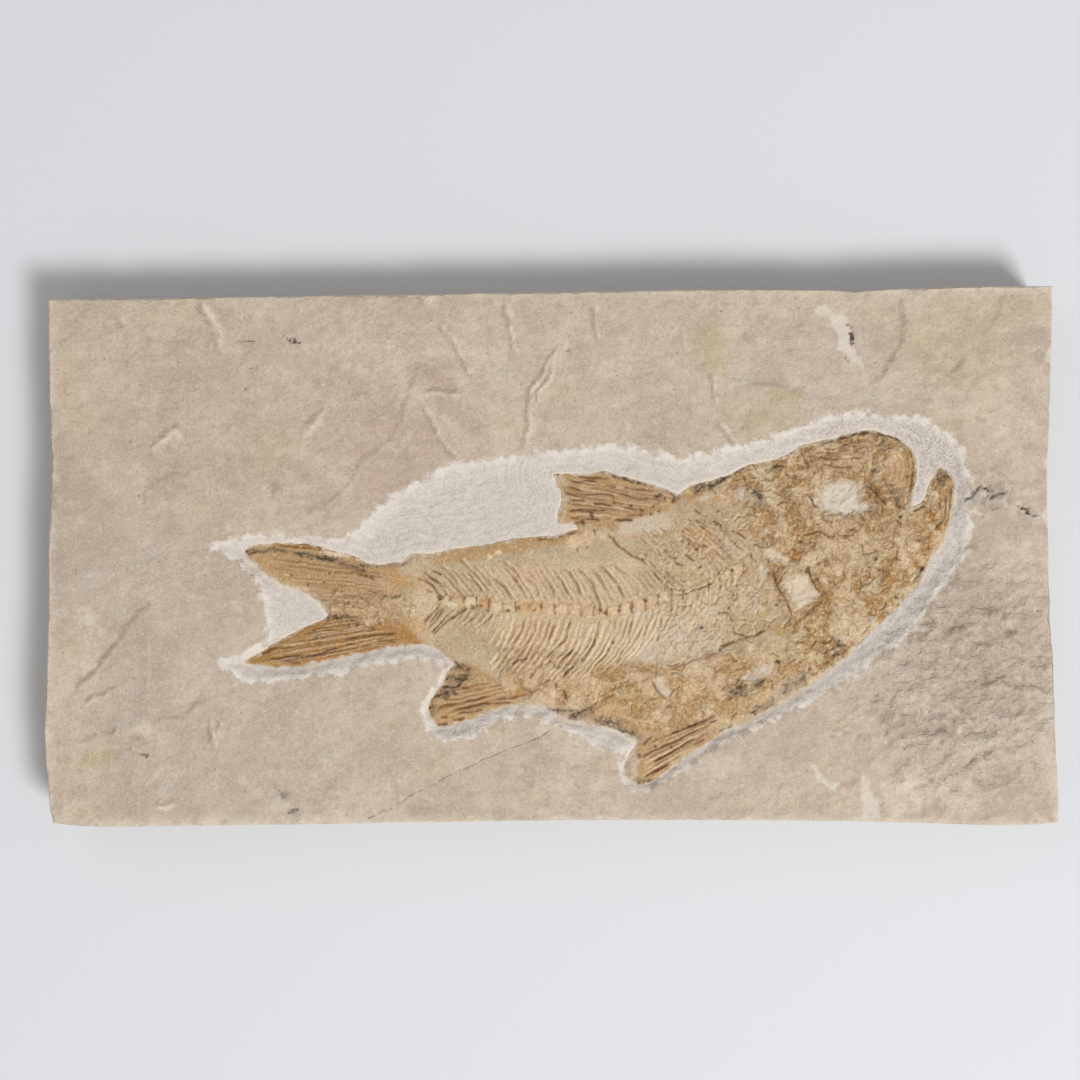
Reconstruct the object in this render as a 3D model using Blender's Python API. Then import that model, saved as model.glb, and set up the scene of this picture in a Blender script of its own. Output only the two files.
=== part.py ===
"""Fossil fish slab: a trimmed limestone slab with a small bony fish lying in its split face.

The slab lies face up. +X runs from the fish's tail to its head, +Z is up, and the origin is the
middle of the sawn underside. Sizes in this file are millimetres, and meshes are made in metres.
"""

import math
import random

import bmesh
import bpy
import numpy as np
from mathutils import Vector
from mathutils.geometry import delaunay_2d_cdt

METRE = 0.001

# Driving dimensions
SLAB_LENGTH = 121.8
SLAB_WIDTH = 65.0
SLAB_THICKNESS = 10.0
PREPARED_DEPTH = 0.8
FISH_THICKNESS = 1.2
FIT_GAP = 0.3

# Slab details
FACE_LEVEL = SLAB_THICKNESS - 0.35
EDGE_WEAR = 0.35
EDGE_STEP = 2.6
SIDE_WANDER = 0.15
WAIST_LEVEL = SLAB_THICKNESS * 0.55
HALO_STEP = 2.0
WALL_WIDTH = 2.2
FACE_GRID = 5.0
ROUGH_GRID = 2.4

# Fish details
FISH_STEP = 1.35
FISH_GRID = 2.4
RIDGE_STEP = 1.5
LEAST_SPACING = 0.45
RIM_WIDTH = 0.9
BODY_RISE = 0.2
BELLY_LEVEL = FACE_LEVEL - PREPARED_DEPTH
VERTEBRA_COUNT = 25
VALLEY = 0.66

# The slab's trimmed edge, clockwise from the corner above the tail
SLAB_EDGE = [
    [(-60.5, 30.7), (-40.0, 31.1), (-20.0, 31.4), (0.0, 31.8), (20.0, 31.9), (37.0, 31.8), (44.0, 32.2),
     (54.0, 32.5), (60.1, 32.4)],
    [(60.1, 32.4), (60.0, 24.0), (59.6, 14.0), (59.4, 4.0), (59.7, -6.0), (60.2, -16.0), (60.6, -24.0),
     (60.9, -31.9)],
    [(60.9, -31.9), (54.0, -32.3), (44.0, -32.1), (30.0, -31.8), (8.0, -31.8), (-14.0, -32.1),
     (-36.0, -32.4), (-56.0, -32.5), (-59.9, -32.0)],
    [(-59.9, -32.0), (-60.6, -26.0), (-60.9, -21.0), (-60.5, -13.0), (-60.3, 0.0), (-60.1, 10.0),
     (-60.4, 20.0), (-60.5, 30.7)],
]

# The outer edge of the strip that was scraped down round the fish, from above the tail
HALO_EDGE = [
    [(-41.3, 1.2), (-37.0, 2.3), (-30.0, 2.5), (-25.5, 2.3), (-20.5, 5.0), (-16.0, 8.6), (-9.0, 11.5),
     (-2.0, 12.5), (7.0, 13.0), (13.5, 12.1), (20.0, 12.9), (28.0, 15.3), (34.0, 16.9), (41.5, 16.9),
     (46.5, 15.4), (49.6, 12.4), (50.5, 8.0), (50.1, 2.0), (47.6, -3.0), (44.6, -7.4), (41.6, -11.2),
     (36.0, -14.0), (30.0, -18.0), (24.0, -20.9), (18.5, -23.3), (14.0, -26.6), (10.3, -28.4)],
    [(10.3, -28.4), (8.5, -27.0), (7.7, -24.0), (4.5, -22.8), (1.0, -20.6), (-3.5, -19.0), (-8.0, -20.4),
     (-12.5, -21.6), (-15.3, -20.6), (-15.9, -18.0), (-14.6, -15.4), (-13.6, -13.2)],
    [(-13.6, -13.2), (-17.0, -12.2), (-23.0, -13.6), (-31.0, -15.0), (-36.4, -15.2), (-40.3, -12.6)],
    [(-40.3, -12.6), (-36.5, -10.9), (-34.8, -8.6), (-34.8, -4.5), (-37.6, -1.0), (-41.3, 1.2)],
]

# The fish's outline, clockwise from the upper tip of the tail, with a corner between smooth stretches
FISH_EDGE = [
    # tail's upper edge, back, and up to the dorsal fin
    [(-37.2, 0.5), (-35.3, 1.3), (-29.6, 1.35), (-25.0, 0.4), (-22.0, -0.7), (-18.4, -0.8), (-15.6, 0.3),
     (-12.8, 0.5), (-7.0, 1.5), (-1.5, 2.2), (3.2, 3.1)],
    # dorsal fin: underside, ragged tips, leading edge
    [(3.2, 3.1), (2.9, 4.0), (1.1, 4.3)],
    [(1.1, 4.3), (1.0, 6.0), (0.8, 8.0), (0.1, 9.8)],
    [(0.1, 9.8), (5.0, 10.0), (9.0, 9.5), (13.0, 8.6), (15.4, 7.5)],
    # nape, skull roof and snout
    [(15.4, 7.5), (18.5, 8.9), (22.5, 10.6), (28.0, 12.0), (33.5, 14.0), (38.0, 15.0), (41.2, 14.2),
     (43.3, 12.4), (43.8, 10.0), (43.0, 5.7)],
    # lower jaw, throat and belly, down to the pelvic fin
    [(43.0, 5.7), (44.7, 7.2), (45.5, 9.2), (46.7, 10.5)],
    [(46.7, 10.5), (48.2, 9.0), (48.3, 5.2), (46.6, 0.8), (44.2, -3.2), (41.0, -6.9), (37.4, -10.6),
     (32.0, -14.8), (26.0, -18.5), (20.0, -21.3), (16.2, -23.6), (13.6, -25.9), (10.6, -27.3)],
    # pelvic fin's ragged end and the belly behind it
    [(10.6, -27.3), (9.0, -26.4), (8.9, -24.8), (10.2, -22.7)],
    [(10.2, -22.7), (7.2, -21.0), (3.4, -20.2), (0.2, -18.9), (-3.8, -17.8), (-9.0, -19.2),
     (-13.8, -20.4)],
    # anal fin's end, the tail root and the tail's lower edge
    [(-13.8, -20.4), (-14.9, -18.6), (-14.0, -16.4), (-12.7, -14.6), (-11.6, -13.2)],
    [(-11.6, -13.2), (-13.2, -11.6), (-15.8, -10.7), (-20.0, -11.2), (-26.0, -12.5), (-32.0, -13.2),
     (-36.8, -12.8)],
    # inside of the fork
    [(-36.8, -12.8), (-33.4, -10.7), (-29.4, -8.4), (-26.8, -7.0)],
    [(-26.8, -7.0), (-28.4, -5.2), (-32.6, -3.4), (-35.2, -1.3), (-37.2, 0.5)],
]

# Low steps left where thin layers of the stone split away: the face drops on the right of each line
LEDGES = [
    ([(-24.5, 8.8), (-20.0, 14.0), (-16.6, 19.8), (-12.2, 24.0)], 0.22),
    ([(-3.2, 13.6), (-2.7, 17.0), (-1.2, 21.0), (0.8, 25.6)], 0.25),
    ([(20.0, 21.8), (26.0, 20.6), (31.5, 19.0)], 0.2),
    ([(46.8, 19.8), (49.6, 23.6), (54.8, 31.0)], 0.2),
    ([(-57.4, -16.4), (-53.5, -12.2), (-48.0, -6.4), (-43.4, -2.6)], 0.25),
    ([(-58.0, -22.0), (-52.6, -21.2), (-46.0, -19.2), (-41.0, -17.0)], 0.2),
]
LEDGE_FADE = 5.0
LEDGE_WIDTH = 0.5
LEDGE_STEP = 2.5

# Where the face in front of the belly is pitted instead of flat
ROUGH_CENTRE = (50.0, -17.0)
ROUGH_RADIUS = (12.0, 14.0)
ROUGH_PITS = 16
ROUGH_PIT_RADIUS = (1.8, 3.6)
ROUGH_PIT_DEPTH = (0.12, 0.3)
ROUGH_SEED = 7

# The backbone, from the tail root to the skull
BACKBONE = [(-15.2, -5.9), (-10.0, -5.8), (-4.0, -6.2), (3.0, -6.5), (9.5, -6.0), (14.5, -5.0),
            (18.5, -3.4), (22.6, -1.4)]

# Fins: root line, tip line and ray count; rays run from one line to the other
FINS = {
    "upper_tail": ([(-20.4, -1.9), (-22.8, -6.4)], [(-36.4, 0.5), (-33.5, -2.3), (-27.6, -6.3)], 5),
    "lower_tail": ([(-23.2, -7.2), (-21.4, -11.2)], [(-27.8, -7.8), (-33.0, -10.9), (-36.0, -12.7)], 4),
    "dorsal": ([(7.0, 4.0), (14.8, 7.4)], [(1.5, 4.4), (1.2, 7.0), (0.9, 9.7)], 5),
    "anal": ([(-9.0, -14.6), (-3.6, -17.2)], [(-12.9, -15.2), (-14.3, -18.0), (-13.4, -20.0)], 5),
    "pelvic": ([(18.6, -19.4), (18.2, -21.6)], [(12.0, -22.9), (9.6, -25.0), (10.8, -26.9)], 4),
}
RAY_WIDTH = 0.5
RAY_HEIGHT = 0.2

# Bones of the head and shoulder: centre line, half width and height of each ridge
HEAD_BONES = [
    ([(23.6, 9.9), (30.0, 12.2), (34.0, 13.6), (38.0, 14.3), (41.2, 13.3), (42.7, 11.2)], 0.8, 0.3),
    ([(31.5, 11.6), (35.0, 11.6), (38.5, 11.2)], 0.8, 0.22),
    ([(39.9, 9.5), (40.9, 7.2), (42.2, 4.8), (41.8, 2.6)], 0.7, 0.3),
    ([(46.7, 9.6), (47.2, 7.0), (46.6, 3.2), (44.6, -0.6), (42.0, -4.0)], 0.9, 0.36),
    ([(44.9, 7.0), (44.6, 4.6), (42.6, 3.2)], 0.7, 0.25),
    ([(31.0, 9.8), (30.2, 6.4), (31.2, 3.4), (35.0, 2.6), (39.0, 2.9)], 0.8, 0.28),
    ([(25.2, 9.2), (24.4, 6.0), (25.0, 2.6), (27.2, 1.0), (29.8, 0.2)], 0.8, 0.26),
    ([(33.0, 1.2), (36.0, -1.0), (40.0, -1.4), (42.6, 0.6)], 0.9, 0.22),
    ([(25.8, 0.2), (27.0, -3.4), (28.8, -7.0)], 0.7, 0.28),
    ([(30.6, -1.2), (32.0, -3.6), (34.0, -5.6), (37.5, -7.4)], 0.8, 0.28),
    ([(27.6, -9.0), (31.0, -10.4), (34.6, -10.0)], 0.9, 0.26),
    ([(20.0, -13.4), (23.4, -13.6), (26.6, -13.2)], 0.8, 0.22),
]
EYE_CENTRE = (34.9, 7.1)
EYE_RADIUS = 2.3
EYE_DEPTH = 0.3
EYE_RIM = 0.22


def clear_scene():
    """Removes the things that a new file starts with."""
    for thing in list(bpy.data.objects):
        bpy.data.objects.remove(thing)


def smooth_curve(points, step):
    """Points about step apart along a Catmull-Rom curve through the given ones, both ends kept."""
    p = np.array(points, float)
    if len(p) == 2:
        count = max(1, round(np.linalg.norm(p[1] - p[0]) / step))
        return p[0] + np.linspace(0.0, 1.0, count + 1)[:, None] * (p[1] - p[0])
    padded = np.vstack([2 * p[0] - p[1], p, 2 * p[-1] - p[-2]])
    parts = []
    for a, b, c, d in zip(padded, padded[1:], padded[2:], padded[3:]):
        t = np.linspace(0.0, 1.0, 24, endpoint=False)[:, None]
        parts.append(0.5 * (2 * b + (c - a) * t + (2 * a - 5 * b + 4 * c - d) * t**2
                            + (3 * b - a - 3 * c + d) * t**3))
    fine = np.vstack(parts + [p[-1:]])
    run = np.concatenate([[0.0], np.cumsum(np.linalg.norm(np.diff(fine, axis=0), axis=1))])
    count = max(1, round(run[-1] / step))
    at = np.linspace(0.0, run[-1], count + 1)
    return np.column_stack([np.interp(at, run, fine[:, k]) for k in (0, 1)])


def closed_outline(stretches, step):
    """One closed loop of points from stretches that each end where the next begins."""
    return np.vstack([smooth_curve(stretch, step)[:-1] for stretch in stretches])


def offset_outline(loop, distance):
    """The loop moved outwards by distance; the loop runs clockwise, so outwards is on its left."""
    before = loop - np.roll(loop, 1, axis=0)
    after = np.roll(loop, -1, axis=0) - loop
    normals = []
    for edge in (before, after):
        unit = edge / np.linalg.norm(edge, axis=1)[:, None]
        normals.append(np.column_stack([-unit[:, 1], unit[:, 0]]))
    mitre = normals[0] + normals[1]
    reach = np.maximum((mitre * normals[0]).sum(axis=1), 0.7)
    return loop + distance * mitre / reach[:, None]


def inside(points, loop):
    """For each point, whether it lies inside the closed loop."""
    x, y = points[:, :1], points[:, 1:]
    ax, ay = loop.T
    bx, by = np.roll(loop, -1, axis=0).T
    crosses = (ay > y) != (by > y)
    rise = np.where(by == ay, 1.0, by - ay)
    return ((crosses & (x < ax + (y - ay) * (bx - ax) / rise)).sum(axis=1) % 2).astype(bool)


def distance_to(points, line, closed=False):
    """Each point's distance to a polyline."""
    a = line if closed else line[:-1]
    b = np.roll(line, -1, axis=0) if closed else line[1:]
    run = b - a
    to = points[:, None] - a
    share = np.clip((to * run).sum(axis=2) / np.maximum((run * run).sum(axis=1), 1e-12), 0.0, 1.0)
    return np.linalg.norm(to - share[:, :, None] * run, axis=2).min(axis=1)


def smoothstep(t):
    """0 to 1 with level ends."""
    t = np.clip(t, 0.0, 1.0)
    return t * t * (3.0 - 2.0 * t)


def at_share(line, share):
    """The point that lies that share of the way along a polyline."""
    run = np.concatenate([[0.0], np.cumsum(np.linalg.norm(np.diff(line, axis=0), axis=1))])
    return np.array([np.interp(share * run[-1], run, line[:, k]) for k in (0, 1)])


def spine_ridges():
    """Vertebrae, the spines above and the ribs below, as (line, half width, height, valley distance)."""
    column = smooth_curve(BACKBONE, 0.5)
    ridges = []
    for number in range(VERTEBRA_COUNT):
        share = (number + 0.5) / VERTEBRA_COUNT
        x, y = at_share(column, share)
        ridges.append((np.array([(x, y - 0.5), (x, y), (x + 0.1, y + 0.5)]), 0.6, 0.34, VALLEY))
        # spines lean towards the tail, more so near the tail and the shoulder
        lean = 0.75 - 0.3 * math.sin(math.pi * share)
        length = 2.6 + 3.6 * math.sin(math.pi * min(share * 1.25 + 0.1, 0.85))
        tilt = lean * length
        upper = [(x, y + 0.7), (x - 0.25 * tilt, y + 0.55 * length), (x - tilt, y + length)]
        ridges.append((smooth_curve(upper, length / 4), 0.42, 0.2, VALLEY))
        # haemal spines behind, longer ribs that curve back and down in front
        length = 3.0 + 6.0 * math.sin(math.pi * min(share * 1.1, 0.62))
        back = 0.95 - 0.75 * share
        sweep = back * length
        lower = [(x, y - 0.8), (x - 0.1 * sweep, y - 0.5 * length), (x - 0.75 * sweep, y - length)]
        ridges.append((smooth_curve(lower, length / 4), 0.45, 0.24, VALLEY))
    return ridges


def fin_ridges():
    """The rays of every fin."""
    ridges = []
    for root, tips, count in FINS.values():
        root_line = smooth_curve(root, 0.5)
        tip_line = smooth_curve(tips, 0.5)
        for number in range(count):
            share = (number + 0.5) / count
            start, end = at_share(root_line, share), at_share(tip_line, share)
            ridges.append((smooth_curve([start, end], 4.0), RAY_WIDTH, RAY_HEIGHT, RAY_WIDTH))
    return ridges


def head_ridges():
    """The larger bones of the skull, jaws and shoulder, and the ring round the eye."""
    ridges = [(smooth_curve(line, 1.6), width, height, width) for line, width, height in HEAD_BONES]
    turn = np.linspace(0.0, 2 * math.pi, 15)
    ring = np.column_stack([np.cos(turn), np.sin(turn)]) * (EYE_RADIUS + 0.4) + np.array(EYE_CENTRE)
    ridges.append((ring, 0.6, EYE_RIM, 0.6))
    return ridges


def swell(points):
    """The gentle waves of the split face, above or below its mean level."""
    x, y = points.T
    return (0.1 * np.sin(0.07 * x + 0.4) + 0.07 * np.cos(0.11 * y - 0.05 * x)
            + 0.04 * np.sin(0.21 * x - 0.13 * y + 1.0))


def ledge_drop(points):
    """How far the face lies lower beside each ledge, fading away from it."""
    drop = np.zeros(len(points))
    for line, depth in LEDGES:
        line = smooth_curve(line, LEDGE_STEP)
        along = line[-1] - line[0]
        side = (points[:, 0] - line[0, 0]) * along[1] - (points[:, 1] - line[0, 1]) * along[0]
        away = distance_to(points, line)
        fading = np.exp(-((away / LEDGE_FADE) ** 2)) * smoothstep(away / LEDGE_WIDTH)
        drop += np.where(side > 0.0, depth * fading, 0.0)
    return drop


def rough_pits():
    """Centre, radius and depth of each shallow pit in the rough patch."""
    draw = random.Random(ROUGH_SEED)
    pits = []
    for _ in range(ROUGH_PITS):
        turn, out = draw.uniform(0.0, 2 * math.pi), math.sqrt(draw.random())
        centre = (ROUGH_CENTRE[0] + ROUGH_RADIUS[0] * 0.75 * out * math.cos(turn),
                  ROUGH_CENTRE[1] + ROUGH_RADIUS[1] * out * math.sin(turn))
        pits.append((centre, draw.uniform(*ROUGH_PIT_RADIUS), draw.uniform(*ROUGH_PIT_DEPTH)))
    return pits


def face_height(points, halo, fish):
    """Height of the slab's upper face: the split bedding face, cut down in the halo round the fish."""
    height = FACE_LEVEL + swell(points) - ledge_drop(points)
    for centre, radius, depth in rough_pits():
        away = np.linalg.norm(points - np.array(centre), axis=1)
        height -= depth * (1.0 - smoothstep(away / radius))
    # the wall of the halo is WALL_WIDTH wide, or as wide as the halo is where that is less
    to_halo = distance_to(points, halo, closed=True)
    to_fish = distance_to(points, fish, closed=True)
    wall = np.minimum(WALL_WIDTH, to_halo + to_fish)
    cut = np.where(inside(points, halo), smoothstep(to_halo / wall), 0.0)
    prepared = BELLY_LEVEL + swell(points)
    return height + cut * (prepared - height)


def fish_height(points, fish, ridges):
    """Height of the fish's surface: a low body with its bones standing out as ridges."""
    rim = smoothstep(distance_to(points, fish, closed=True) / RIM_WIDTH)
    relief = np.zeros(len(points))
    for line, width, height, _ in ridges:
        away = distance_to(points, line)
        relief = np.maximum(relief, height * (1.0 - smoothstep(away / width)))
    from_eye = np.linalg.norm(points - np.array(EYE_CENTRE), axis=1)
    relief -= EYE_DEPTH * (1.0 - smoothstep(from_eye / EYE_RADIUS))
    return BELLY_LEVEL + swell(points) - 0.05 + rim * (BODY_RISE + relief)


def grid_points(low, high, step):
    """Points in staggered rows across a rectangle."""
    rows = []
    for number, y in enumerate(np.arange(low[1], high[1], step * 0.87)):
        xs = np.arange(low[0] + (number % 2) * step / 2, high[0], step)
        rows.append(np.column_stack([xs, np.full(len(xs), y)]))
    return np.vstack(rows)


def thinned(points, least):
    """The points without those that lie closer than least to one already kept."""
    kept = []
    cells = {}
    for point in points:
        cell = (int(point[0] // least), int(point[1] // least))
        around = [cells.get((cell[0] + i, cell[1] + j)) for i in (-1, 0, 1) for j in (-1, 0, 1)]
        if any(other is not None and np.linalg.norm(point - other) < least for other in around):
            continue
        cells[cell] = point
        kept.append(point)
    return np.array(kept)


def triangulate_between(lines, loops, loose, keep):
    """A flat triangulation through open lines, closed loops and loose points; keep picks the faces."""
    points, edges = [], []
    for line, closed in [(line, False) for line in lines] + [(loop, True) for loop in loops]:
        first = len(points)
        points += [tuple(p) for p in line]
        edges += [(first + k, first + k + 1) for k in range(len(line) - 1)]
        if closed:
            edges.append((first + len(line) - 1, first))
    points += [tuple(p) for p in loose]
    flat = [Vector(p) for p in points]
    vertices, _, faces, *_ = delaunay_2d_cdt(flat, edges, [], 0, 1e-4)
    xy = np.array([tuple(v) for v in vertices])
    faces = np.array(faces)
    return xy, faces[keep(xy[faces].mean(axis=1))]


def mesh_from_face(xy, heights, faces):
    """A bmesh of one height field, in metres, without its unused vertices."""
    mesh = bmesh.new()
    corners = [mesh.verts.new((x * METRE, y * METRE, z * METRE)) for (x, y), z in zip(xy, heights)]
    for face in faces:
        mesh.faces.new([corners[k] for k in face])
    bmesh.ops.delete(mesh, geom=[v for v in mesh.verts if not v.link_faces], context="VERTS")
    return mesh


def boundary_loops(mesh):
    """The open edges of a mesh as ordered loops of vertices, the longest loop first."""
    left = {edge for edge in mesh.edges if edge.is_boundary}
    loops = []
    while left:
        start = left.pop()
        loop = [start.verts[0], start.verts[1]]
        while True:
            onward = next((e for e in loop[-1].link_edges if e in left), None)
            if onward is None:
                break
            left.discard(onward)
            loop.append(onward.other_vert(loop[-1]))
        loops.append(loop[:-1] if loop[0] == loop[-1] else loop)
    return sorted(loops, key=len, reverse=True)


def clockwise(loop):
    """The loop's vertices in clockwise order seen from above."""
    xy = np.array([v.co[:2] for v in loop])
    after = np.roll(xy, -1, axis=0)
    area = (xy[:, 0] * after[:, 1] - after[:, 0] * xy[:, 1]).sum()
    return loop if area < 0 else loop[::-1]


def wall_down(mesh, loop, outlines_and_levels):
    """Walls from a loop down through new rings, one for each outline and level. Gives the last ring."""
    for outline, level in outlines_and_levels:
        ring = [mesh.verts.new((x * METRE, y * METRE, level * METRE)) for x, y in outline]
        for k, vertex in enumerate(loop):
            onward = (k + 1) % len(loop)
            mesh.faces.new((vertex, loop[onward], ring[onward], ring[k]))
        loop = ring
    return loop


def finished(mesh, name, material):
    """Closes the normals, splits every face into triangles and makes the named object."""
    bmesh.ops.triangulate(mesh, faces=mesh.faces[:])
    bmesh.ops.recalc_face_normals(mesh, faces=mesh.faces[:])
    data = bpy.data.meshes.new(name)
    mesh.to_mesh(data)
    mesh.free()
    data.materials.append(material)
    thing = bpy.data.objects.new(name, data)
    bpy.context.scene.collection.objects.link(thing)
    return thing


def stone_material(name, colour, roughness):
    """A plain Principled material."""
    material = bpy.data.materials.new(name)
    material.use_nodes = True
    shader = material.node_tree.nodes["Principled BSDF"]
    shader.inputs["Base Color"].default_value = (*colour, 1.0)
    shader.inputs["Roughness"].default_value = roughness
    shader.inputs["Metallic"].default_value = 0.0
    return material


def loop_xy(loop):
    """A loop's plan positions in millimetres."""
    return np.array([v.co[:2] for v in loop]) / METRE


def slab_points(edge, halo, bed, fish, ledge_lines):
    """Loose points for the slab's face: a wide grid, a finer one on the pits, and the halo's foot."""
    foot = offset_outline(halo, -WALL_WIDTH)
    foot = foot[(distance_to(foot, fish, closed=True) > 1.0) & inside(foot, halo)]
    foot = foot[distance_to(foot, halo, closed=True) > 0.7 * WALL_WIDTH]
    middle = offset_outline(halo, -WALL_WIDTH / 2)
    middle = middle[(distance_to(middle, fish, closed=True) > 1.0) & inside(middle, halo)]
    coarse = grid_points(edge.min(axis=0), edge.max(axis=0), FACE_GRID)
    centre, radius = np.array(ROUGH_CENTRE), np.array(ROUGH_RADIUS)
    fine = grid_points(centre - radius, centre + radius, ROUGH_GRID)
    loose = thinned(np.vstack([foot, middle, fine, coarse]), 1.0)
    to_loops = [distance_to(loose, line, closed=True) for line in (edge, halo, bed)]
    clear = np.array(to_loops).min(axis=0) > 0.5
    clear_of_ledges = np.array([distance_to(loose, line) for line in ledge_lines]).min(axis=0) > 0.8
    return loose[clear & clear_of_ledges & inside(loose, edge) & ~inside(loose, bed)]


def slab_levels(worn):
    """Outlines and levels down the slab's sides from its worn upper edge, with a shallow uneven waist."""
    full = offset_outline(worn, EDGE_WEAR)
    wander = np.sin(0.9 * worn[:, 0] + 2.3 * np.sin(0.31 * worn[:, 0]) + 0.8 * worn[:, 1])
    inward = SIDE_WANDER * (1.0 + wander) / EDGE_WEAR
    waist = full + (worn - full) * inward[:, None]
    shoulder = FACE_LEVEL - 2 * EDGE_WEAR
    return [(full, shoulder), (waist, WAIST_LEVEL), (full, EDGE_WEAR), (worn, 0.0)]


def make_slab(fish):
    """The limestone slab, with the scraped halo and the fish's bed sunk in its face."""
    halo = closed_outline(HALO_EDGE, HALO_STEP)
    edge = offset_outline(closed_outline(SLAB_EDGE, EDGE_STEP), -EDGE_WEAR)
    bed = offset_outline(fish, FIT_GAP)
    ledges = [smooth_curve(line, LEDGE_STEP) for line, _ in LEDGES]
    ledges += [offset_outline(line, -LEDGE_WIDTH)[1:-1] for line in ledges]

    def keep(middles):
        return inside(middles, edge) & ~inside(middles, bed)

    loose = slab_points(edge, halo, bed, fish, ledges)
    xy, faces = triangulate_between(ledges, [edge, halo, bed], loose, keep)
    mesh = mesh_from_face(xy, face_height(xy, halo, fish), faces)
    loops = [clockwise(loop) for loop in boundary_loops(mesh)]
    outer, inner = sorted(loops, key=lambda loop: -np.ptp(loop_xy(loop)[:, 0]))
    mesh.faces.new(wall_down(mesh, outer, slab_levels(loop_xy(outer))))
    bed_level = BELLY_LEVEL - FISH_THICKNESS - FIT_GAP
    mesh.faces.new(wall_down(mesh, inner, [(loop_xy(inner), bed_level)]))
    return finished(mesh, "slab", stone_material("limestone", (0.51, 0.42, 0.32), 0.9))


def within(line, fish, margin):
    """The stretch of a line that keeps the margin from the fish's outline, or None if it is short."""
    fine = smooth_curve(line, 0.3)
    good = inside(fine, fish) & (distance_to(fine, fish, closed=True) > margin)
    if good.sum() < 4:
        return None
    first, last = np.flatnonzero(good)[[0, -1]]
    length = 0.3 * (last - first)
    count = max(2, round(length / RIDGE_STEP))
    return fine[np.linspace(first, last, count + 1).round().astype(int)]


def make_fish(fish):
    """The flattened fish: one thin body with its bones and fin rays in low relief."""
    ridges = spine_ridges() + fin_ridges() + head_ridges()
    crests = [(within(line, fish, 0.4), valley) for line, _, _, valley in ridges]
    crests = [(line, valley) for line, valley in crests if line is not None]
    lines = [line for line, _ in crests]
    feet = [offset_outline(np.vstack([line, line[::-1][1:-1]]), valley) for line, valley in crests]
    rim = offset_outline(fish, -RIM_WIDTH)
    rim = rim[distance_to(rim, fish, closed=True) > RIM_WIDTH * 0.8]
    loose = np.vstack([rim, *feet, grid_points(fish.min(axis=0), fish.max(axis=0), FISH_GRID)])
    near = np.array([distance_to(loose, line) for line in lines]).min(axis=0) < 0.28
    loose = loose[inside(loose, fish) & (distance_to(loose, fish, closed=True) > 0.35) & ~near]

    def keep(middles):
        return inside(middles, fish)

    xy, faces = triangulate_between(lines, [fish], thinned(loose, LEAST_SPACING), keep)
    mesh = mesh_from_face(xy, fish_height(xy, fish, ridges), faces)
    edge = clockwise(boundary_loops(mesh)[0])
    mesh.faces.new(wall_down(mesh, edge, [(loop_xy(edge), BELLY_LEVEL - FISH_THICKNESS)]))
    return finished(mesh, "fish", stone_material("fossil_bone", (0.47, 0.29, 0.12), 0.7))


def main():
    """Builds both pieces in place."""
    clear_scene()
    fish = closed_outline(FISH_EDGE, FISH_STEP)
    make_slab(fish)
    make_fish(fish)


main()
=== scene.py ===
"""Looks of the fossil fish slab: split limestone, the scraped strip round the fish, and the fish's bones.

Plan positions and heights are millimetres in the slab's own frame. Each surface is a fine height field with
masks that say where a tint lies. The materials mix the tints and add the grain that is finer than the mesh.
Lines, outlines and corners are listed as x, y, x, y and so on.
"""

import math

import bmesh
import bpy
import numpy as np
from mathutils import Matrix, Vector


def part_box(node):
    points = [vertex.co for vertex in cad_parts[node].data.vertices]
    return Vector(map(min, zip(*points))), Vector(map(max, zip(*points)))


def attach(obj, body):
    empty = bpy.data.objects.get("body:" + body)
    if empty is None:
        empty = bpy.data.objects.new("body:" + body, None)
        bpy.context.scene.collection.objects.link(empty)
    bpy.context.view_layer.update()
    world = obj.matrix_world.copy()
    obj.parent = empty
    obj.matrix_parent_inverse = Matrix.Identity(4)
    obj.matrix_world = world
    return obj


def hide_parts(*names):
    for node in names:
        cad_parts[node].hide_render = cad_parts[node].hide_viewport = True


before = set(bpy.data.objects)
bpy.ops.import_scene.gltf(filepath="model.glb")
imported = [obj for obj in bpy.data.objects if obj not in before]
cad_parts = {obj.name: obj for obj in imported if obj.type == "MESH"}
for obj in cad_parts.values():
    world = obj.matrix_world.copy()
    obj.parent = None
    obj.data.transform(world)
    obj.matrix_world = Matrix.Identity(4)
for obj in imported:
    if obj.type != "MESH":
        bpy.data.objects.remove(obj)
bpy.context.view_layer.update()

MM = 0.001

# Levels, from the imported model
SLAB_LOW, SLAB_HIGH = (np.array(corner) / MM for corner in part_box("slab"))
FACE_LEVEL = SLAB_HIGH[2] - 0.23
PREPARED_DEPTH = 0.8
FLOOR_LEVEL = FACE_LEVEL - PREPARED_DEPTH
BED_DEPTH = 0.55
WALL_WIDTH = 2.3

# Mesh steps
SLAB_STEP = 0.305
FISH_STEP = 0.13
FISH_SKIRT = 0.42
FISH_BOTTOM = FLOOR_LEVEL - 1.1

# The photograph: straight down, square frame, this wide at the slab's face
PHOTO_WIDTH = 129.6
PHOTO_CENTRE = (-1.44, 1.92)
PHOTO_ANGLE = math.radians(30.0)

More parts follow.
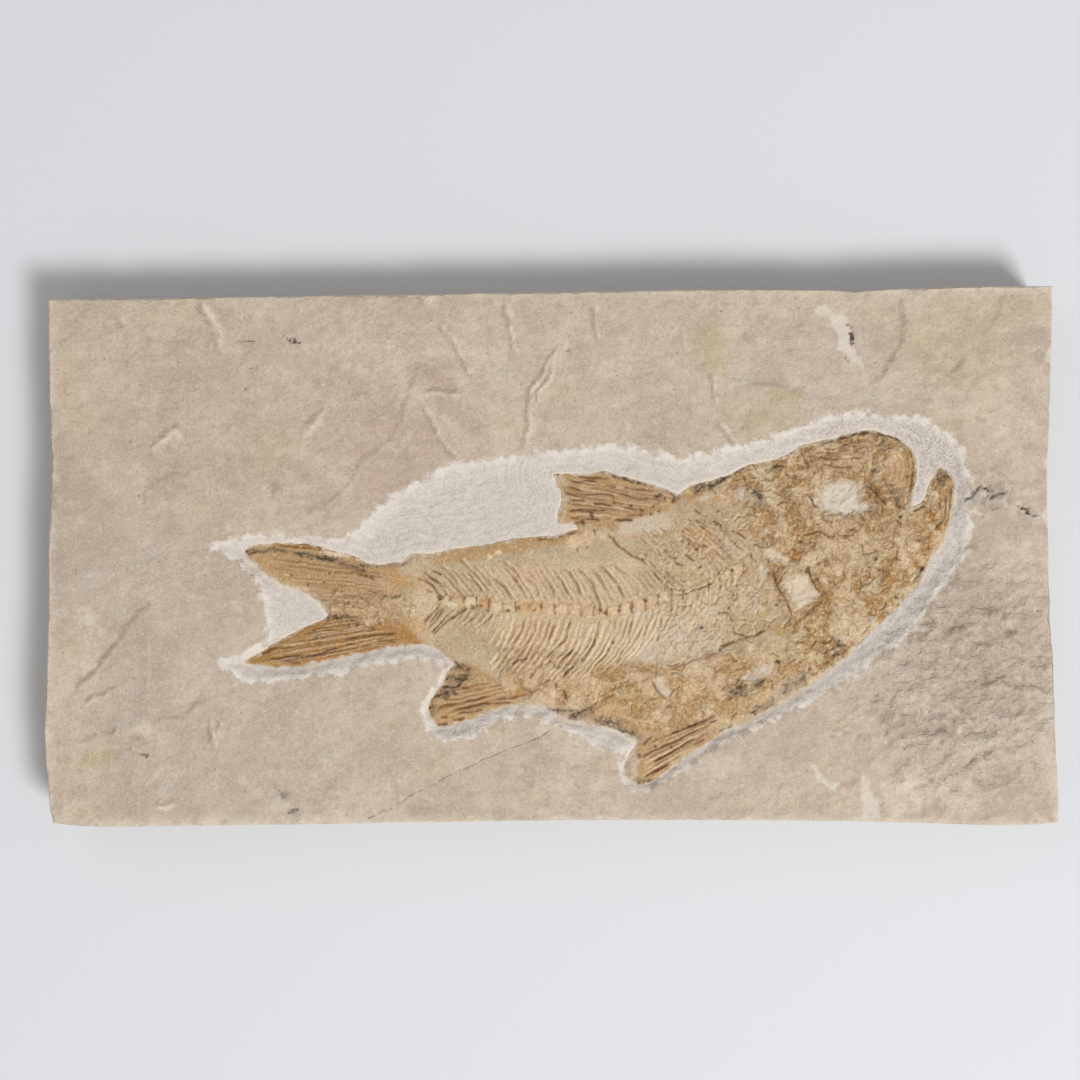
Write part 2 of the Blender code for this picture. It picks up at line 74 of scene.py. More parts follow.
# The slab's edge, as y along its long sides and x along its short ones
TOP_EDGE = (-60.5, 30.85, -42, 31.05, -23, 31.4, -4, 31.65, 14, 31.95, 24, 32, 33.5, 31.95, 36.4, 31.75,
            38.6, 31.95, 44, 32.2, 50, 32.4, 60.1, 32.45)
BOTTOM_EDGE = (-59.9, -32.1, -56, -32.5, -50, -32.5, -40, -32.4, -30, -32.3, -20, -32.1, -10, -31.95, 0,
               -31.8, 8, -31.75, 28, -31.8, 40, -32, 52, -32.35, 58, -32.3, 61, -32)
LEFT_EDGE = (-60, -32.2, -60.3, -30.5, -60.8, -24, -60.9, -20, -60.6, -12, -60.45, -2, -60.4, 2, -60.15,
             10, -60.3, 18, -60.5, 26, -60.5, 31)
RIGHT_EDGE = (60.9, -32.2, 60.85, -28, 60.6, -24, 60.3, -14, 59.9, -8, 59.7, 0, 59.5, 8, 59.7, 14, 59.9,
              20, 60.05, 26, 60.1, 32.5)

# The fish's outline, clockwise from the upper tip of the tail; each stretch is smooth, corners lie between
FISH_EDGE = [
    (-37.1, 0.55, -35.3, 1.35, -29.6, 1.4, -27, 0.75, -24.3, 0, -21.5, -1.05, -18.2, -0.75, -16.7, 0.2,
     -14.3, 0.2, -12, 0.8, -7.7, 1.35, -5.7, 1.85, -1.7, 2.25, 0.6, 2.5, 3.2, 3.15),
    (3.2, 3.15, 2.8, 3.75, 0.9, 4), (0.9, 4, 0.75, 5.3, 1.25, 6.7, 1.2, 7.8, 0.6, 8.8, 0.2, 9.8),
    (0.2, 9.8, 4, 9.75, 6.2, 10.1, 8, 9.65, 11.3, 8.75, 13.7, 8.05, 15.2, 7.2),
    (15.2, 7.2, 16.7, 8.35, 19.5, 9.1, 21.8, 9.9, 23.5, 10.8, 26, 11.3, 28.5, 12.2, 30.2, 13.3, 33.5,
     14.05, 36, 14.7, 38.2, 15, 40.3, 14.6, 42.3, 13.6, 43.4, 12.3, 43.9, 10.6, 43.6, 8.4, 43, 5.7),
    (43, 5.7, 44.3, 6.25, 45, 7.2, 45.6, 8.9, 46.7, 10.5),
    (46.7, 10.5, 47.6, 10.2, 48.35, 9, 48.25, 6, 47.8, 3.7, 46.9, 1.5, 45.4, -0.6, 44.2, -3.2, 42.5, -5.2,
     40.5, -7.2, 38.2, -9.4, 36.3, -11.2, 34, -13.3, 31.3, -15.3, 28.2, -17.3, 24, -19.7, 21, -20.9, 19,
     -22.3, 16.2, -24.1, 13.2, -26.4, 11.6, -27.4, 10.4, -27.5),
    (10.4, -27.5, 9.2, -26.7, 8.75, -25.2, 9.5, -23.7, 10.3, -22.4),
    (10.3, -22.4, 8.8, -21.5, 7.2, -20.7, 5, -20.3, 2.2, -19.8, -1, -18.3, -3.4, -17.75, -6.3, -18.25,
     -9.3, -19.4, -12, -20.3, -13.7, -20.4),
    (-13.7, -20.4, -14.8, -19, -14.75, -18, -14.2, -16.7, -13.1, -15.4, -12.6, -14, -11.6, -13.1),
    (-11.6, -13.1, -13, -11.8, -15, -10.6, -17.5, -10.75, -22.3, -11.5, -26.7, -12.5, -30.7, -13.25, -34,
     -13.3, -37, -12.8),
    (-37, -12.8, -35, -11.6, -32.4, -10, -29.8, -8.7, -27.6, -7.75, -26.8, -7.1),
    (-26.8, -7.1, -28.2, -5.4, -30.3, -4.1, -33, -3.1, -35, -1.7, -36.2, -0.5, -37.1, 0.55),
]

# The outer edge of the scraped strip, clockwise from the tip left of the upper tail
HALO_EDGE = [
    (-42, 0.7, -40, 1.75, -37, 2.4, -34, 2.6, -29.7, 2.5, -26.2, 2.2, -24, 2.8, -20, 6.5, -16, 9.2, -12,
     11, -9, 11.5, -3, 12.4, 4, 13, 7, 13.3, 10, 13.1, 13.5, 12.3, 15.3, 11.8, 18, 12.4, 23, 13.5, 29,
     15.2, 32.5, 16.7, 37, 17.3, 41, 16.9, 44, 16.8, 46.7, 15.5, 48.8, 13.5, 50, 11.2, 50.4, 8, 50.3, 4,
     50.4, 1, 49.3, -1.2, 46.5, -4.5, 44.2, -7.8, 42, -10.2, 38, -13, 34, -15.8, 28, -19, 22, -21.8, 17.5,
     -24.5, 13, -27.4, 11, -28.3),
    (11, -28.3, 9.3, -28.2, 8.5, -27, 8, -25.3, 8.3, -23.5),
    (8.3, -23.5, 6, -23.2, 3.9, -21.9, 0, -20.1, -4, -19.1, -7, -20.2, -9.5, -21.8, -12.6, -22.2, -14.7,
     -21.2, -15.7, -19.2, -15.2, -17, -13.5, -14.8, -12.8, -13.5),
    (-12.8, -13.5, -14, -12.7, -17, -12.5, -21, -12.9, -25, -14, -30, -14.7, -36, -15.2, -38.5, -13.9,
     -40.2, -12.6),
    (-40.2, -12.6, -37, -11.4, -34.4, -9.8, -34.6, -6, -35, -4, -37.3, -1.2, -39.5, 0.2, -42, 0.7),
]

BACKBONE = (-13.6, -5.1, -12, -5.6, -9, -5.6, -6, -6.1, -2.5, -6.3, 1, -6.4, 4.5, -6.6, 7.5, -6.5, 9.8, -6,
            12.8, -5.1, 15.6, -4.5, 18, -3.8, 20.3, -2.5, 23, -1.2)
VERTEBRA_COUNT = 24


def smooth_curve(points, step):
    """Points about step apart along a Catmull-Rom curve; points are pairs, or x, y, x, y and so on."""
    p = np.array(points, float).reshape(-1, 2)
    if len(p) > 2:
        padded = np.vstack([2 * p[0] - p[1], p, 2 * p[-1] - p[-2]])
        parts = []
        for a, b, c, d in zip(padded, padded[1:], padded[2:], padded[3:]):
            t = np.linspace(0.0, 1.0, 16, endpoint=False)[:, None]
            parts.append(0.5 * (2 * b + (c - a) * t + (2 * a - 5 * b + 4 * c - d) * t**2
                                + (3 * b - a - 3 * c + d) * t**3))
        p = np.vstack(parts + [p[-1:]])
    run = lengths_along(p)
    at = np.linspace(0.0, run[-1], max(1, round(run[-1] / step)) + 1)
    return np.column_stack([np.interp(at, run, p[:, k]) for k in (0, 1)])


def lengths_along(line):
    """The length of a polyline up to each of its points."""
    return np.concatenate([[0.0], np.cumsum(np.linalg.norm(np.diff(line, axis=0), axis=1))])


def at_share(line, share):
    """The point that lies that share of the way along a polyline."""
    run = lengths_along(line)
    return np.array([np.interp(share * run[-1], run, line[:, k]) for k in (0, 1)])


def closed_outline(stretches, step):
    """One closed loop of points, its first point repeated at the end."""
    loop = np.vstack([smooth_curve(stretch, step)[:-1] for stretch in stretches])
    return np.vstack([loop, loop[:1]])


def smoothstep(t):
    """0 to 1 with level ends."""
    t = np.clip(t, 0.0, 1.0)
    return t * t * (3.0 - 2.0 * t)


def from_line(x, y, line):
    """Each point's distance to a polyline, how far along the line its nearest place is, and its side."""
    best = np.full(len(x), 1e9)
    along = np.zeros(len(x))
    side = np.zeros(len(x))
    run = lengths_along(line)
    for k in range(len(line) - 1):
        (ax, ay), (bx, by) = line[k], line[k + 1]
        dx, dy = bx - ax, by - ay
        share = np.clip(((x - ax) * dx + (y - ay) * dy) / (dx * dx + dy * dy + 1e-12), 0.0, 1.0)
        away = np.hypot(x - ax - share * dx, y - ay - share * dy)
        closer = away < best
        best[closer] = away[closer]
        along[closer] = run[k] + share[closer] * (run[k + 1] - run[k])
        side[closer] = np.sign(dx * (y - ay) - dy * (x - ax))[closer]
    return best, along, side


def is_inside(x, y, loop):
    """Whether each point lies inside the closed loop."""
    count = np.zeros(len(x), int)
    for (ax, ay), (bx, by) in zip(loop[:-1], loop[1:]):
        if ay != by:
            crosses = (ay > y) != (by > y)
            count += crosses & (x < ax + (y - ay) * (bx - ax) / (by - ay))
    return count % 2 == 1


def depth_inside(x, y, loop):
    """Distance to the loop, positive inside it and negative outside, and the place along the loop."""
    away, along, _ = from_line(x, y, loop)
    return np.where(is_inside(x, y, loop), away, -away), along


def noise(x, y, cell, seed):
    """Smooth random values from -1 to 1, with bumps about one cell wide."""
    table = np.random.default_rng(seed).uniform(-1.0, 1.0, (256, 256))
    u, v = x / cell, y / cell
    i, j = np.floor(u).astype(int), np.floor(v).astype(int)
    s, t = smoothstep(u - i), smoothstep(v - j)
    low = table[i % 256, j % 256] * (1 - s) + table[(i + 1) % 256, j % 256] * s
    high = table[i % 256, (j + 1) % 256] * (1 - s) + table[(i + 1) % 256, (j + 1) % 256] * s
    return low * (1 - t) + high * t


def layered(x, y, cell, seed, layers=3, fade=0.55):
    """Noise in several sizes, each half as wide and turned from the one before."""
    total = np.zeros(len(x))
    strength = 1.0
    for layer in range(layers):
        total += strength * noise(x, y, cell, seed + layer)
        x, y = 0.8 * x - 0.6 * y, 0.6 * x + 0.8 * y
        cell *= 0.5
        strength *= fade
    return total


def streaks(x, y, turn, length, width, seed):
    """Noise drawn out along one direction; turn is its angle in degrees."""
    c, s = math.cos(math.radians(turn)), math.sin(math.radians(turn))
    return layered((x * c + y * s) / length, (y * c - x * s) / width, 1.0, seed, 2)


class Surface:
    """Points in plan with a height, and masks from 0 to 1 that say how much of each tint they have."""

    def __init__(self, x, y, tints, wobble=0.1, seed=1):
        self.x, self.y = x, y
        self.bent_x = x + wobble * layered(x, y, 1.1, seed)
        self.bent_y = y + wobble * layered(x, y, 1.1, seed + 50)
        self.uneven = layered(x, y, 0.55, seed + 90, 2)
        self.height = np.zeros(len(x))
        self.tints = {name: np.zeros(len(x)) for name in tints}

    def tint(self, name, where, amount):
        """Brings a tint up to an amount at some points."""
        self.tints[name][where] = np.maximum(self.tints[name][where], amount)

    def near(self, low, high):
        """The points in a box."""
        return np.flatnonzero((self.bent_x > low[0]) & (self.bent_x < high[0])
                              & (self.bent_y > low[1]) & (self.bent_y < high[1]))

    def stroke(self, line, width, rise=0.0, taper=0.18, broken=0.5, **tints):
        """Raises or sinks a band along a line, uneven in width, thinning at its ends, and tints it."""
        line = np.array(line, float)
        at = self.near(line.min(axis=0) - 2 * width, line.max(axis=0) + 2 * width)
        if not len(at):
            return
        away, along, _ = from_line(self.bent_x[at], self.bent_y[at], line)
        share = along / lengths_along(line)[-1]
        ends = smoothstep(np.minimum(share, 1.0 - share) / taper + 0.25)
        reach = width * (0.4 + 0.6 * ends) * (1.0 + 0.35 * self.uneven[at])
        profile = ends * smoothstep(1.0 - away / reach)
        profile *= 1.0 - broken * smoothstep(-0.2 - 1.4 * self.uneven[at])
        self.height[at] += rise * profile
        for name, amount in tints.items():
            self.tint(name, at, amount * profile)

    def patch(self, x, y, rx, ry, turn, rise=0.0, soft=0.6, rough=0.3, seed=0, **tints):
        """Tints and raises a ragged oval patch; turn is its long side's angle in degrees."""
        reach = 1.5 * max(rx, ry)
        at = self.near((x - reach, y - reach), (x + reach, y + reach))
        if not len(at):
            return
        c, s = math.cos(math.radians(turn)), math.sin(math.radians(turn))
        dx, dy = self.bent_x[at] - x, self.bent_y[at] - y
        out = np.hypot((dx * c + dy * s) / rx, (dy * c - dx * s) / ry)
        out += rough * layered(self.x[at], self.y[at], 0.5 * min(rx, ry) + 0.15, 300 + seed)
        mask = smoothstep((1.0 - out) / soft + 0.5)
        self.height[at] += rise * mask
        for name, amount in tints.items():
            self.tint(name, at, amount * mask)

    def specks(self, draw, x, y, rx, ry, turn, count, size=0.13, rise=-0.03, **tints):
        """Many short ragged dashes inside an oval, lying roughly along it."""
        c, s = math.cos(math.radians(turn)), math.sin(math.radians(turn))
        for _ in range(count):
            u, v = rx * draw.uniform(-1, 1), ry * draw.normal(0.0, 0.5)
            tilt = math.radians(turn) + draw.normal(0.0, 0.5)
            reach = size * draw.uniform(0.6, 3.2)
            px, py = x + u * c - v * s, y + u * s + v * c
            dx, dy = reach * math.cos(tilt), reach * math.sin(tilt)
            width = size * draw.uniform(0.8, 1.8)
            uneven = {name: amount * draw.uniform(0.4, 1.0) for name, amount in tints.items()}
            self.stroke([(px - dx, py - dy), (px + dx, py + dy)], width, rise=rise, broken=0.2, **uneven)

    def area(self, corners, soft=0.3, rise=0.0, clears=(), **tints):
        """Tints and raises the inside of a polygon, with uneven soft edges; clears takes other tints off."""
        loop = np.array(corners, float).reshape(-1, 2)
        loop = np.vstack([loop, loop[:1]])
        at = self.near(loop.min(axis=0) - 2 * soft, loop.max(axis=0) + 2 * soft)
        depth, _ = depth_inside(self.bent_x[at], self.bent_y[at], loop)
        ragged = 0.18 * self.uneven[at] + 0.12 * soft * layered(self.x[at], self.y[at], 1.3, 400, 2)
        mask = smoothstep((depth + ragged) / soft + 0.5)
        self.height[at] += rise * mask
        for name in clears:
            self.tints[name][at] *= 1.0 - mask
        for name, amount in tints.items():
            self.tint(name, at, amount * mask)


# Of these tints, the brown shade tint is painted shade in grooves, hollows and pits and beside steps, seams
# and chips; pale is the stone's own pale colour and also painted highlight along steps
SLAB_TINTS = ("pale", "ink", "olive", "pink", "grey", "scuff", "dusk", "pitted", "rough")

# Low steps left where thin layers of the stone split away: the face drops on the right of each line
LEDGES = [
    ((-11.8, 23.6, -14, 23.3, -16.2, 22.3, -17.3, 18.8, -19.1, 14.4, -22.7, 11.5, -24.4, 8.5, -27.1, 6.2,
     -30.6, 4.1), 0.1),
    ((-10.2, 19, -10.9, 21, -11.6, 23.1, -12.8, 24.7), 0.14),
    ((-11.4, 11.4, -13, 13.6, -14.4, 15.9, -15.3, 18.2), 0.14),
    ((-3.3, 12.4, -2.5, 17, -1.2, 19.7, 0.2, 23, 1, 25.6), 0.16),
    ((30.6, 19.2, 28.7, 19.9, 26, 20.6, 22.6, 21, 20, 21.4), 0.2),
    ((42.1, 31.8, 42.1, 28.3, 42.2, 26.7, 41.3, 24.3, 39.2, 21.2, 38.1, 19.6), 0.24),
    ((50.1, 24.1, 48.4, 22.2, 46.8, 20.9, 46.6, 19.8), 0.2), ((54.3, 31.6, 53.4, 28.5, 51.5, 26.4), 0.12),
    ((-47.8, -5.2, -49.8, -7.2, -51.4, -9.3, -52.9, -11.3, -54.5, -13.3, -57.9, -16.9), 0.24),
    ((-41, -17.1, -43, -18, -43.7, -19.1, -44.4, -19.5, -46.6, -19.4, -47.8, -20.3), 0.16),
    ((-52.5, -19.6, -52.5, -21.2, -54.3, -21.7, -55.8, -22.2, -57.9, -22.2), 0.16),
    ((36.8, -27.4, 35.6, -27.6, 34.4, -27.4), 0.14), ((59.2, 8.8, 55.6, 8.4, 53, 10.2, 49.8, 9.4), 0.12),
    ((-43.4, 9.6, -46.4, 9.4, -48.4, 8.2, -49.4, 5.6), 0.14),
    ((45.1, -29.4, 46.2, -26.6, 48.6, -24, 52.8, -22.6), 0.22), ((44.9, -29.2, 44.8, -31.6), 0.18),
]
LEDGE_FADE = 4.5
LEDGE_WIDTH = 0.4
STEP_SHADE = 0.4

# Where the light comes from in plan, for the painted shade and painted highlight along each step and seam
LIT_SIDE = (0.67, -0.74)

# Short steps of the rough patch below the jaw: points as x, y, x, y and so on
SCARPS = [
    (49, -21.5, 52, -22.5, 55, -23.5, 57, -24, 58, -26),
    (47.5, -17, 51, -20, 53, -18.5, 55.5, -19.5, 57.5, -17), (50.5, -26.5, 52, -28, 55.5, -27, 56.5, -28),
    (54.9, -4.5, 54.7, -9), (46.5, -9.5, 50, -8.7), (51, -10.6, 54, -9.8, 56.6, -10.8),
    (48.6, -12.6, 51.4, -11.8), (52.6, -13.6, 55, -12.4, 57.6, -12.8), (42.6, -16.4, 45, -15.2),
    (45.4, -18.4, 47.4, -17.4), (39.6, -20.2, 41.4, -19.2), (40, -23, 42.6, -21.4, 44.4, -21),
    (37.6, -19.6, 38.6, -18.8), (46.6, -22.4, 48.4, -21.2, 49, -19.4),
    (50.6, -16.2, 52.6, -15.2, 55, -15.6), (56.4, -20.2, 58.6, -18.8), (43.4, -25.2, 45.6, -23.8),
    (53.8, -6.4, 57.4, -5.8), (50.2, -24.6, 53, -24.2), (41.6, -12.8, 43.6, -11.6), (45, -13, 47.4, -12.2),
    (37.2, -22.6, 38.4, -21.6), (33.8, -21.4, 35.6, -20.6),
]

# Thin raised seams, paler than the face: line, half width
SEAMS = [
    ((-13.5, 28.2, -11.4, 25.4, -9.5, 21.9), 0.2), ((-12.6, 27.2, -10.9, 24.4, -9.2, 21.6), 0.15),
    ((1, 25.4, 0.6, 24.2, -0.8, 22.4, -2.2, 19.6, -2.6, 17.3, -2.4, 15.9, -3.3, 12.5), 0.28),
    ((0.4, 23.6, -0.1, 21.5, -1.2, 19.6, -2.2, 17.5), 0.18), ((5.5, 30.9, 5.3, 27, 5.9, 25.8), 0.18),
    ((-5.2, 30.7, -4.7, 26.3, -4.1, 24.2), 0.18), ((-42.1, 30.6, -40.3, 28, -39.6, 25), 0.45),
    ((-15.8, 19.2, -14.6, 19.6, -11, 19.4), 0.2), ((20, 16.2, 21.3, 14.6, 22.4, 13.3), 0.2),
    ((-14.9, 18.4, -14, 15.9, -12.6, 13.6, -11, 11.5), 0.22), ((19.6, 22, 19.8, 18), 0.14),
    ((-40.7, -19.3, -40.5, -22.5), 0.2), ((-39.4, -19.3, -40.3, -23), 0.14),
    ((-56, -17.9, -52, -15.9), 0.14), ((-48, 12.4, -45.5, 15, -44.5, 13.5), 0.45),
    ((49, -19.4, 49, -21.6), 0.2), ((-47.6, -29.8, -46.6, -30.4, -45.4, -29.6), 0.25),
    ((48.3, -0.5, 50.5, 1), 0.18), ((-29.7, 14.1, -27.1, 17.7), 0.5),
]

# Dark mineral marks and thin dark cracks: line, half width, strength
SLAB_INK = [
    ((35.6, 28.1, 36.3, 26.7), 0.16, 0.9), ((36.3, 26.7, 36.2, 25.4), 0.22, 1),
    ((34.9, 24.4, 35.6, 23.3), 0.26, 1), ((36, 24.2, 36.5, 23.7), 0.16, 0.8),
    ((-31.9, 26.2, -31.1, 25.5), 0.3, 1), ((-31.7, 25.4, -31, 26.1), 0.16, 0.7),
    ((-38, 25.8, -35.6, 25.7), 0.16, 0.75), ((-37.1, 20.2, -36.8, 19.8), 0.22, 0.95),
    ((-36.2, 22.4, -35.8, 22.2), 0.18, 0.7), ((-26.2, 25.7, -24.3, 25.7), 0.14, 0.4),
    ((-49.4, 20.5, -49.2, 20.3), 0.2, 0.5), ((-56.2, 25.3, -55.9, 24.6), 0.2, 0.4),
    ((-33, -28.1, -32.2, -28.7, -31.6, -29), 0.35, 0.75), ((-32.6, -28.9, -32, -28.3), 0.2, 0.6),
    ((-31.6, -30.4, -30.9, -30.3, -31.1, -30.9, -31.7, -31), 0.22, 0.8),
    ((-31.1, -31, -30.6, -31.6), 0.16, 0.6), ((-49, -24, -48.8, -23.7), 0.28, 0.85),
    ((-51.2, -23.3, -51, -23.1), 0.22, 0.75), ((-50.2, -21.9, -49.9, -21.8), 0.18, 0.6),
    ((1.7, 25.4, 2.2, 24.4, 3.4, 23.8), 0.22, 0.6), ((1.8, 24.6, 2.8, 24.8), 0.3, 0.4),
    ((-9.6, 31.2, -9.9, 29.3), 0.14, 0.35), ((57.1, 27.7, 58.2, 27.2, 59.4, 27.3), 0.22, 0.45),
    ((58.2, 27.2, 57.6, 26.7), 0.18, 0.4), ((50.2, 7, 51.6, 7.6), 0.35, 0.5),
    ((50, 6.6, 51.4, 8.2, 52.6, 7.4), 0.3, 1), ((52.4, 6.4, 53.6, 7.4, 55.2, 7.6), 0.3, 1),
    ((56, 6, 57.6, 5, 59, 4.8), 0.25, 0.9), ((38.2, -12.1, 40, -12.3), 0.16, 0.6),
    ((40.4, -12.4, 41.2, -12.5), 0.14, 0.5), ((35.4, 17.1, 38.4, 17.2), 0.14, 0.5),
    ((25.2, 13.9, 26.8, 14.3), 0.14, 0.5), ((-41, -8.8, -40.6, -8.8), 0.16, 0.4),
    ((-32.6, -14.1, -30, -14, -26.8, -13.6), 0.14, 0.5), ((-17, -12.3, -16.7, -12.4), 0.2, 0.4),
    ((-7, 13, -6.8, 12.8), 0.2, 0.3), ((51.6, 5.8, 52.2, 6.4), 0.25, 0.4),
]

# Shallow grooves and hollows of the face, sunk a little and darkened with painted shade: line, half width,
# strength
SHADED_GROOVES = [
    ((-16, 22.8, -13.2, 21.2, -11.4, 21.4), 1.1, 0.45), ((42.2, 31.5, 41.8, 25.4, 38.4, 19.8), 0.6, 0.6),
    ((-0.6, 17.6, -1.4, 14.6), 0.8, 0.45), ((-47.8, -5.2, -52.9, -11.3, -57.9, -16.9), 0.5, 0.6),
    ((-16.6, 21.6, -18.6, 16.6), 0.3, 0.4), ((-19.1, 14.4, -22.7, 11.5), 0.7, 0.35),
    ((49.4, 23.6, 46.6, 20), 0.9, 0.5), ((-48, 9, -46, 9.2, -43.6, 8.4), 0.7, 0.5),
    ((-53.5, -5.8, -53.6, -7.4), 0.2, 0.5), ((-55, -9, -55.2, -9.8), 0.3, 0.4),
    ((20.2, 21.4, 26, 20.6, 30.6, 19.2), 0.3, 0.5), ((54.2, 31.4, 53.4, 28.5, 51.5, 26.4), 0.4, 0.35),
    ((-53.2, 28.6, -52.2, 28.2, -51.6, 27), 0.4, 0.5), ((45.1, -26, 46, -28.6, 44.8, -31.4), 0.8, 0.35),
    ((-58.2, -23.6, -58.4, -25.4), 0.25, 0.5), ((24, 18.4, 23, 15), 0.5, 0.3),
    ((-14.2, 15.6, -12.2, 12), 0.5, 0.4),
]

# White scuffs where a tool bit into the face: corners, strength
SCUFFS = [
    ((31.8, 30.2, 32.7, 30.1, 35.5, 28.1, 36.2, 26.6, 36, 24.8, 37.1, 23.8, 37.6, 22.5, 35.9, 23.1, 34.4,
     24.9, 34.5, 26.3, 33.1, 28.3, 31.8, 29.3), 1),
    ((31.1, -24.9, 32.2, -25.8, 33.2, -27, 34.7, -27.4, 33.9, -28.5, 32.5, -27.5, 31.4, -25.9), 0.85),
    ((36.9, -26.1, 37.7, -26.4, 38.3, -28, 39.2, -29.6, 39.5, -31.8, 37.5, -31.8, 37.2, -28.8), 0.8),
    ((39.4, -27.3, 39.9, -27.6, 40.5, -28.9, 40.1, -29.6, 39.6, -28.6), 0.7),
]

# Soft patches of colour on the face: x, y, radii, turn, tints
SLAB_PATCHES = [
    (-45, 14, 11, 9, 20, {"pink": 0.5}), (-21, 13, 6, 8, 50, {"pink": 0.6}),
    (-33.2, 12.8, 2.6, 1.6, 30, {"olive": 0.7}), (-33.2, 8.3, 1.1, 0.7, 60, {"grey": 0.9, "dusk": 0.3}),
    (-13.6, 21.4, 2.4, 1.8, 0, {"pink": 0.9}), (-14.3, 30.6, 0.9, 0.8, 0, {"pale": 0.9}),
    (18.8, 25.2, 1.9, 2.6, 0, {"olive": 0.9}), (28.1, 19.2, 1.9, 0.9, -10, {"olive": 1}),
    (25, 16.6, 5.4, 2.2, -8, {"olive": 0.55}), (48, 24, 7, 6, 0, {"olive": 0.45}),
    (55.6, 29.6, 3.4, 2.4, 0, {"olive": 0.45}), (45.6, 13.6, 4, 4, 0, {"olive": 0.35}),
    (57.4, 26, 2.4, 1.8, 0, {"grey": 0.55}), (52.2, 7.2, 3, 1.1, 10, {"grey": 0.9, "ink": 0.3}),
    (50.8, -13, 9, 9, 0, {"pink": 0.45}), (-54.4, -24.2, 2, 1, 20, {"olive": 0.9}),
    (-57.6, 20, 2, 7, 0, {"olive": 0.3}), (-53.6, -13.4, 0.5, 0.3, 0, {"olive": 1}),
    (-5.4, 22.2, 0.9, 0.6, 0, {"grey": 0.6, "pale": 0.4}), (-49, -20.8, 1.3, 0.8, 0, {"pale": 0.6}),
    (-55.9, -7.4, 1.4, 1.1, 0, {"pale": 0.5}), (-55.8, -13, 1.4, 0.7, 30, {"pale": 0.5}),
    (-32.2, -28.7, 1.3, 0.8, -40, {"grey": 0.8}), (-31, -30.8, 1.1, 0.8, -40, {"grey": 0.8}),
    (32, 24.6, 5, 4, 0, {"pink": 0.3}), (-8, 26, 6, 4, 30, {"pale": 0.2}),
    (10, 24, 8, 5, 0, {"pale": 0.15}), (-50, -16, 7, 5, 30, {"grey": 0.25}),
    (43, -28.6, 2, 3.2, -20, {"pale": 0.7}), (49.6, -29.6, 2.2, 2.6, 30, {"pale": 0.55}),
    (53.4, 19.6, 4, 5, 0, {"pale": 0.3}), (-11.6, 2.7, 2.4, 0.5, 8, {"olive": 0.5}),
    (44.4, 12.6, 3.6, 4.4, 0, {"pitted": 0.8}), (47.8, 8, 2.6, 5, 0, {"pitted": 0.75}),
    (36, 16, 9, 1.4, 8, {"pitted": 0.7}), (26, 13.4, 6, 1.2, 16, {"pitted": 0.4}),
    (-53, -2, 8, 7, 0, {"grey": 0.3}), (-38, -25, 14, 6, 5, {"grey": 0.2}),
    (-11, -21.6, 3.6, 2, 10, {"pitted": 0.7}), (43, -7.4, 4, 2.6, 50, {"pitted": 0.2}),
]

# The long hairline crack that crosses the face and goes on under the fish's belly
HAIRLINE = (-22.2, -31.6, -13, -26.8, -7.5, -24.1, 0, -21, 3.6, -18.5, 12, -14.6, 18.1, -12.1, 26.2, -8.5)

# Small pale chips right of the strip, with specks of painted shadow among them: x, y, radii, turn, count
SLAB_CHIPS = [
    (51.6, 7, 1.8, 1.4, 20, 26), (54, 6.6, 1.6, 1, -20, 18), (57.4, 5.2, 1.6, 0.4, -20, 8),
    (44.6, -8.6, 2.6, 1, 45, 14),
]

# The face below the jaw is rough: streaky bumps that run up to the right
ROUGH_CENTRE = (49.0, -14.0)
ROUGH_RADIUS = (15.0, 18.0)
ROUGH_TURN = 28.0

# Seeds of the two random draws that place small marks
SLAB_SEED = 9
FISH_SEED = 5


def swell(x, y):
    """The gentle waves of the split face."""
    return (0.1 * np.sin(0.07 * x + 0.4) + 0.07 * np.cos(0.11 * y - 0.05 * x)
            + 0.04 * np.sin(0.21 * x - 0.13 * y + 1.0))


def fish_depth(x, y):
    """Depth inside the fish's ragged outline, and the place along it."""
    depth, along = depth_inside(x, y, closed_outline(FISH_EDGE, 0.7))
    ragged = 0.09 * layered(x, y, 0.9, 11, 3)
    return depth + ragged, along


def terraced(value, share):
    """A smooth field cut into flat terraces with short steep steps; share is the flat part of each."""
    whole = np.floor(value)
    return whole + smoothstep((value - whole - share) / (1.0 - share))


def shade_step(face, line, width, strength):
    """Darkens a step that faces away from the light, brightens one that faces it; low on the line's right."""
    run = np.array(line[-1]) - line[0]
    outward = np.array([run[1], -run[0]]) / np.hypot(*run)
    facing = float(outward @ LIT_SIDE)
    # painted highlight in the pale tint on a step that faces the light, painted shade on one that faces away,
    # and a weaker band of the other on its upper side
    tint = "pale" if facing > 0.0 else "dusk"
    shift = 0.3 * width * outward
    face.stroke(line + shift, width, broken=0.5, **{tint: strength * (0.45 + 0.55 * abs(facing))})
    other = "dusk" if tint == "pale" else "pale"
    face.stroke(line - 1.2 * width * outward, 0.8 * width, broken=0.7, **{other: 0.5 * strength})


def flaky_ground(face):
    """Waves and flat terraces all over the face; returns where the terraces are strong."""
    x, y = face.x, face.y
    face.height += 0.06 * layered(x, y, 6.0, 20, 3) + 0.035 * layered(x, y, 1.6, 24, 3)
    face.height += 0.03 * streaks(x, y, 15.0, 5.0, 0.9, 28)
    flaky = smoothstep(0.35 + layered(x, y, 9.0, 30, 2))
    face.height += 0.07 * flaky * terraced(2.6 * layered(x, y, 4.5, 32, 4, 0.6), 0.72)
    return flaky


